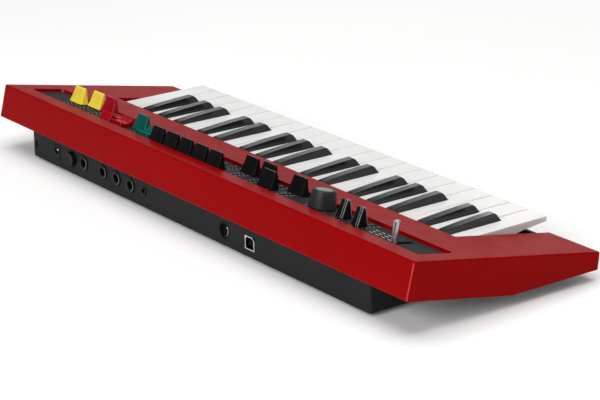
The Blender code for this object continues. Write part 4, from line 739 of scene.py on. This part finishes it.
def make_rocker(node):
    """A saddle-topped rocker, tilted to the side that stands down at rest, with painted highlights
    on its rounded edges.
    """
    tilt = ROCKER_TILT if JOINTS[node]["range_deg"][0] < 0 else -ROCKER_TILT
    outline = []
    for step in range(ROCKER_STEPS + 1):
        share = 2 * step / ROCKER_STEPS - 1
        dip = (ROCKER_TOP - ROCKER_MIDDLE) * (1 - share * share)
        outline.append((share * ROCKER_HALF_TOP, ROCKER_TOP - dip))
    outline += [(ROCKER_HALF_BASE, ROCKER_BASE), (-ROCKER_HALF_BASE, ROCKER_BASE)]
    shape = bmesh.new()
    ends = []
    for side in (-1, 1):
        x = side * ROCKER_HALF_WIDTH
        ends.append([shape.verts.new((x, y, z)) for y, z in outline])
    count = len(outline)
    for i in range(count):
        j = (i + 1) % count
        shape.faces.new((ends[0][i], ends[0][j], ends[1][j], ends[1][i]))
    shape.faces.new(ends[0])
    shape.faces.new(list(reversed(ends[1])))
    add_box(
        shape,
        (-4.5 * MM, -1.5 * MM, -1.1 * MM),
        (4.5 * MM, 1.5 * MM, ROCKER_BASE - 0.05 * MM),
    )
    pivot = JOINTS[node]["pos_m"]
    matrix = panel_matrix(pivot[0], *ROCKER_PIVOT) @ Matrix.Rotation(tilt, 4, "X")
    slot = SLOTS[node]
    piece = finish_piece(node + "_cap", shape, LOOKS[slot], node, matrix, (node,))
    # The rounded edges take the lighter colour: painted highlights.
    piece.data.materials.append(EDGE_HIGHLIGHTS[slot])
    round_edges(piece, ROCKER_EDGE, 4).material = 1


for rocker in ("percussion_rocker_1", "percussion_rocker_2", "vibrato_rocker"):
    make_rocker(rocker)


# Knob, lever and power button


def make_knob():
    """A flared knob on its shaft, with a pale disc and a pointer in its dished top."""
    profile = [(0.0, 11.0 * MM), (6.2 * MM, 11.0 * MM), (6.6 * MM, KNOB_TOP_Z)]
    profile += arc((KNOB_RADIUS - KNOB_RIM, KNOB_TOP_Z - KNOB_RIM), KNOB_RIM, 90, 8, 8)
    profile += [(9.3 * MM, 6.0 * MM), (9.7 * MM, 1.0 * MM), (9.9 * MM, -1.6 * MM)]
    profile += [(9.5 * MM, -2.0 * MM), (3.0 * MM, -2.0 * MM)]
    profile += [(3.0 * MM, SHAFT_END), (0.0, SHAFT_END)]
    matrix = panel_matrix(*KNOB_PLACE, 0.0)
    shape = turned_shape(profile, 96)
    replaced = ("voice_knob",)
    turn = TURNED_SHARP_TURN
    finish_piece("knob_body", shape, KNOB_BODY, "voice_knob", matrix, replaced, turn)
    profile = [(0.0, 11.35 * MM), (6.0 * MM, 11.3 * MM), (6.1 * MM, 11.0 * MM), (0.0, 10.9 * MM)]
    disc = turned_shape(profile, 96)
    finish_piece("knob_disc", disc, KNOB_TOP, "voice_knob", matrix, (), turn)
    line = bmesh.new()
    add_box(line, (-0.3 * MM, 2.0 * MM, 11.25 * MM), (0.3 * MM, 5.8 * MM, 11.42 * MM))
    finish_piece("knob_pointer", line, WHITE_INK_AND_GLINT, "voice_knob", matrix)


make_knob()


def make_lever():
    """A straight polished rod with a domed top."""
    profile = [(0.0, LEVER_TOP)]
    profile += arc((LEVER_RADIUS - LEVER_DOME, LEVER_TOP - LEVER_DOME), LEVER_DOME, 90, 0, 6)
    profile += [(LEVER_RADIUS, SHAFT_END), (0.0, SHAFT_END)]
    shape = turned_shape(profile, 64)
    matrix = panel_matrix(*LEVER_PLACE, 0.0)
    node = "rotary_lever"
    finish_piece("lever_rod", shape, LOOKS["steel"], node, matrix, (node,))


make_lever()


def make_power_button():
    """A shallow dished button with a rounded rim."""
    profile = [(0.0, BUTTON_PROUD - 0.5 * MM), (2.5 * MM, BUTTON_PROUD - 0.38 * MM)]
    profile.append((4.2 * MM, BUTTON_PROUD - 0.05 * MM))
    rim_middle = (BUTTON_RADIUS - BUTTON_RIM, BUTTON_PROUD - BUTTON_RIM)
    profile += arc(rim_middle, BUTTON_RIM, 90, 0, 6)
    profile += [(BUTTON_RADIUS, BUTTON_INNER), (BUTTON_FLANGE, BUTTON_INNER)]
    profile.append((BUTTON_FLANGE, BUTTON_INNER - BUTTON_FLANGE_DEPTH))
    profile.append((0.0, BUTTON_INNER - BUTTON_FLANGE_DEPTH))
    shape = turned_shape(profile, 64)
    matrix = rear_matrix(POWER_BUTTON)
    node = "power_button"
    turn = TURNED_SHARP_TURN
    finish_piece("button_cap", shape, NUT, node, matrix, (node,), turn)


make_power_button()


# Sockets: rings and metal that sit in the jack board's solids


def ring_profile(outer, inner, high, low):
    """Section of a ring with a softened outer edge, as a closed loop of (radius, height)."""
    edge = min(0.35 * MM, (outer - inner) * 0.4, (high - low) * 0.4)
    section = [(inner, low), (inner, high - edge), (inner + edge, high)]
    section += arc((outer - edge, high - edge), edge, 90, 0, 4)
    section.append((outer, low))
    return section


def make_ring(name, spot, section, look, start=0.0, end=360.0):
    """A ring or a part of one: angles run from +X downwards round the socket."""
    shape = bmesh.new()
    whole = end - start == 360.0
    sides = RING_SIDES if whole else ARC_SIDES
    columns = sides if whole else sides + 1
    rings = []
    for radius, height in section:
        ring = []
        for side in range(columns):
            angle = math.radians(start + (end - start) * side / sides)
            point = (radius * math.cos(angle), radius * math.sin(angle), height)
            ring.append(shape.verts.new(point))
        rings.append(ring)
    for first, second in zip(rings, rings[1:] + rings[:1]):
        for i in range(sides):
            j = (i + 1) % columns
            shape.faces.new((first[i], first[j], second[j], second[i]))
    if not whole:
        shape.faces.new([ring[0] for ring in rings])
        shape.faces.new([ring[-1] for ring in reversed(rings)])
    matrix = rear_matrix(spot)
    finish_piece(name, shape, look, "case", matrix, (), TURNED_SHARP_TURN)


def make_sockets():
    """A nut, a sleeve and a glint for each jack, and the rings of the mini and DIN sockets."""
    for number, spot in enumerate(JACKS, 1):
        section = ring_profile(5.9 * MM, 3.5 * MM, 0.75 * MM, 0.42 * MM)
        make_ring(f"jack_nut_{number}", spot, section, NUT)
        # Near-black sleeve lining each jack's hole: partly its own black, partly painted shade in
        # the hole.
        section = ring_profile(3.28 * MM, 2.75 * MM, 0.1 * MM, -2.0 * MM)
        make_ring(f"jack_sleeve_{number}", spot, section, NEAR_BLACK_AND_SHADE)
        section = ring_profile(4.7 * MM, 4.3 * MM, 0.8 * MM, 0.6 * MM)
        make_ring(f"jack_glint_{number}", spot, section, GLINT, 110.0, 240.0)
    section = ring_profile(3.6 * MM, 1.95 * MM, 0.6 * MM, 0.32 * MM)
    make_ring("mini_nut", MINI_JACK, section, NUT)
    section = ring_profile(6.3 * MM, 5.6 * MM, 0.15 * MM, -0.15 * MM)
    make_ring("din_rim", DIN_SOCKET, section, NUT)
    section = ring_profile(4.5 * MM, 4.05 * MM, -0.3 * MM, -1.5 * MM)
    make_ring("din_shell", DIN_SOCKET, section, METAL, 100.0, 230.0)


make_sockets()


def cut_outline(half_x, half_z, right_cut, left_cut):
    """A rectangle's outline with its upper corners cut: the one at +X, then the one at -X."""
    outline = [(-half_x, -half_z), (half_x, -half_z), (half_x, half_z - right_cut)]
    outline += [(half_x - right_cut, half_z), (left_cut - half_x, half_z)]
    outline.append((-half_x, half_z - left_cut))
    return outline


def make_frame(name, spot, outer, inner, high, low, look):
    """A flat frame on the rear wall between two outlines of the same number of points."""
    shape = bmesh.new()
    loops = []
    for outline, height in ((outer, low), (outer, high), (inner, high), (inner, low)):
        loops.append([shape.verts.new((x, -z, height)) for x, z in outline])
    count = len(outer)
    for first, second in zip(loops, loops[1:] + loops[:1]):
        for i in range(count):
            j = (i + 1) % count
            shape.faces.new((first[i], first[j], second[j], second[i]))
    finish_piece(name, shape, look, "case", rear_matrix(spot))


def make_data_rim():
    """Metal mouth of the data socket, with a dark gap round it."""
    outer = cut_outline(5.7 * MM, 5.1 * MM, 0.3 * MM, 2.6 * MM)
    inner = cut_outline(4.8 * MM, 4.3 * MM, 1.6 * MM, 1.9 * MM)
    make_frame("data_rim", DATA_SOCKET, outer, inner, 0.17 * MM, -0.5 * MM, METAL)


make_data_rim()


def make_inlet_plate():
    """Plate round the power inlet's hole, ringed by a flat near-black band: painted shade of a
    groove.
    """
    sides = 40
    x, z = POWER_INLET
    spot = (x - 0.1 * MM, z - 1.0 * MM)
    half_x, half_z = 5.0 * MM, 5.5 * MM
    # Width of the flat near-black band round the plate: painted shade of a groove.
    groove = 0.6 * MM
    rectangle = []
    hole = []
    for side in range(sides):
        angle = math.tau * (side + 0.5) / sides
        across, up = math.cos(angle), math.sin(angle)
        reach = 1 / max(abs(across) / half_x, abs(up) / half_z)
        rectangle.append((across * reach, up * reach))
        hole.append((across * 3.05 * MM, up * 3.05 * MM + 0.7 * MM))
    slot = "black_plastic"
    low = -0.3 * MM
    make_frame("inlet_plate", spot, rectangle, hole, 0.3 * MM, low, LOOKS[slot])
    wide = [(px * (1 + groove / half_x), pz * (1 + groove / half_z)) for px, pz in rectangle]
    make_frame("inlet_groove", spot, wide, rectangle, 0.03 * MM, low, NEAR_BLACK_AND_SHADE)
    profile = [(0.0, 1.2 * MM), (0.7 * MM, 1.0 * MM), (1.0 * MM, 0.4 * MM), (0.0, 0.0)]
    pin = turned_shape(profile, 24)
    # The pin is white for the bright tip of a metal pin: a painted glint.
    finish_piece("inlet_pin", pin, WHITE_INK_AND_GLINT, "case", rear_matrix(POWER_INLET, -1.6 * MM))


make_inlet_plate()


# Printed marks on the panel: ticks beside every slot, dots round the knob and rows of dashes


def add_mark(shape, low_x, high_x, t, half):
    """A printed bar across the slope, from one X to another."""
    add_box(shape, (low_x, t - half, MARK_LOW), (high_x, t + half, MARK_TOP))


def make_marks():
    shape = bmesh.new()
    for node in SLIDERS:
        x = slider_x(node)
        for tick in range(SCALE_TICKS):
            t = SLOT_FRONT + (SLOT_REAR - SLOT_FRONT) * (tick + 0.5) / SCALE_TICKS
            long = tick in (0, SCALE_TICKS // 2, SCALE_TICKS - 1)
            reach = TICK_LONG if long else TICK_SHORT
            for side in (-1, 1):
                ends = sorted((x + side * TICK_START, x + side * (TICK_START + reach)))
                add_mark(shape, *ends, t, TICK_HALF)
    x, t = KNOB_PLACE
    for dot in range(KNOB_DOTS):
        angle = math.radians(90 + 30 * (dot - KNOB_DOTS // 2))
        spot_x = x + KNOB_DOT_RADIUS * math.cos(angle)
        spot_t = t + KNOB_DOT_RADIUS * math.sin(angle)
        if spot_t < SLOT_REAR:
            add_mark(shape, spot_x - KNOB_DOT_HALF, spot_x + KNOB_DOT_HALF, spot_t, KNOB_DOT_HALF)
    slope = panel_matrix(0.0, 0.0, 0.0)
    finish_piece("panel_marks", shape, INK_AND_HIGHLIGHT, "case", slope)
    dashes = bmesh.new()
    for row, t in enumerate(DASH_ROWS):
        for dash in range(DASHES):
            x = DASH_START - DASH_PITCH * dash - DASH_SHIFT * row
            add_mark(dashes, x - DASH_LENGTH, x, t, DASH_HALF)
    finish_piece("panel_dashes", dashes, WHITE_INK_AND_GLINT, "case", slope)


make_marks()


# Screws


def make_screws():
    """Round screw heads that look down from the wings' undersides."""
    number = 0
    for side in (-1, 1):
        for y in SCREW_YS:
            number += 1
            profile = [(0.0, 1.0 * MM), (0.7 * MM, 1.0 * MM)]
            profile += arc((0.7 * MM, 0.4 * MM), 0.6 * MM, 80, 0)
            profile += [(SCREW_RADIUS, 0.0), (0.0, 0.0)]
            shape = turned_shape(profile, 32)
            spot = (side * WING_MIDDLE, *place(y, UNDERSIDE[y] + 1.4 * MM))
            down = Matrix.Translation(spot) @ Matrix.Rotation(math.pi, 4, "X")
            finish_piece(f"screw_{number}", shape, METAL, "case", down)


make_screws()


# Stage: floor, light and camera


def make_floor():
    mesh = bpy.data.meshes.new("floor")
    shape = bmesh.new()
    bmesh.ops.create_grid(shape, x_segments=1, y_segments=1, size=FLOOR_HALF)
    shape.to_mesh(mesh)
    shape.free()
    floor = bpy.data.objects.new("floor", mesh)
    bpy.context.scene.collection.objects.link(floor)
    recipe = Recipe("studio_floor")
    recipe.colour(recipe.noise(3.0), (0.93, 0.93, 0.93), (0.95, 0.95, 0.95))
    mesh.materials.append(
        recipe.set(Roughness=0.9, Specular_IOR_Level=0.1, Emission_Strength=FLOOR_GLOW)
    )


make_floor()


def add_light(name, spot, power, size, tint):
    light = bpy.data.lights.new(name, "AREA")
    light.energy = power
    light.color = tint
    light.shape = "RECTANGLE"
    light.size = size[0]
    light.size_y = size[1]
    lamp = bpy.data.objects.new(name, light)
    bpy.context.scene.collection.objects.link(lamp)
    aim = Vector(LIGHT_TARGET) - Vector(spot)
    turn = aim.to_track_quat("-Z", "Y").to_matrix().to_4x4()
    lamp.matrix_world = Matrix.Translation(spot) @ turn


def joined(tree, operation, first, second):
    """The sum or the product of two values."""
    node = tree.nodes.new("ShaderNodeMath")
    node.operation = operation
    tree.links.new(first, node.inputs[0])
    tree.links.new(second, node.inputs[1])
    return node.outputs["Value"]


def make_world():
    """A room that is pale on one side, dim on the other and darker above its horizon."""
    world = bpy.data.worlds.new("studio")
    world.use_nodes = True
    tree = world.node_tree
    coordinates = tree.nodes.new("ShaderNodeTexCoord")
    along = tree.nodes.new("ShaderNodeVectorMath")
    along.operation = "DOT_PRODUCT"
    along.inputs[1].default_value = PALE_SIDE
    tree.links.new(coordinates.outputs["Generated"], along.inputs[0])
    sides = mapped(tree, along.outputs["Value"], PALE_REACH, (DIM_LEVEL, PALE_LEVEL))
    height = tree.nodes.new("ShaderNodeSeparateXYZ")
    tree.links.new(coordinates.outputs["Generated"], height.inputs["Vector"])
    band = mapped(tree, height.outputs["Z"], BAND_HEIGHTS, (1.0, BAND_LEVEL))
    ceiling = mapped(tree, height.outputs["Z"], CEILING_HEIGHTS, (0.0, CEILING_LEVEL))
    total = joined(tree, "ADD", band, ceiling)
    level = joined(tree, "MULTIPLY", total, sides)
    background = tree.nodes["Background"]
    tree.links.new(level, background.inputs["Strength"])
    background.inputs["Color"].default_value = (1.0, 1.0, 1.0, 1.0)
    bpy.context.scene.world = world


def light_studio():
    make_world()
    for light in LIGHTS:
        add_light(*light)
    bpy.context.scene.view_settings.view_transform = "Standard"


light_studio()


def make_camera():
    yaw, pitch = CAMERA_YAW, CAMERA_PITCH
    look = Vector(
        (math.sin(yaw) * math.cos(pitch), -math.cos(yaw) * math.cos(pitch), -math.sin(pitch))
    )
    right = look.cross(Vector((0.0, 0.0, 1.0))).normalized()
    up = right.cross(look)
    side = right * math.cos(CAMERA_ROLL) + up * math.sin(CAMERA_ROLL)
    top = up * math.cos(CAMERA_ROLL) - right * math.sin(CAMERA_ROLL)
    lens = bpy.data.cameras.new("photo_camera")
    lens.sensor_width = SENSOR
    lens.lens = FOCAL_PIXELS * SENSOR / PICTURE_WIDTH
    lens.clip_start = 0.01
    camera = bpy.data.objects.new("photo_camera", lens)
    bpy.context.scene.collection.objects.link(camera)
    turn = Matrix((side, top, -look)).transposed().to_4x4()
    camera.matrix_world = Matrix.Translation(CAMERA_PLACE) @ turn
    bpy.context.scene.camera = camera


make_camera()
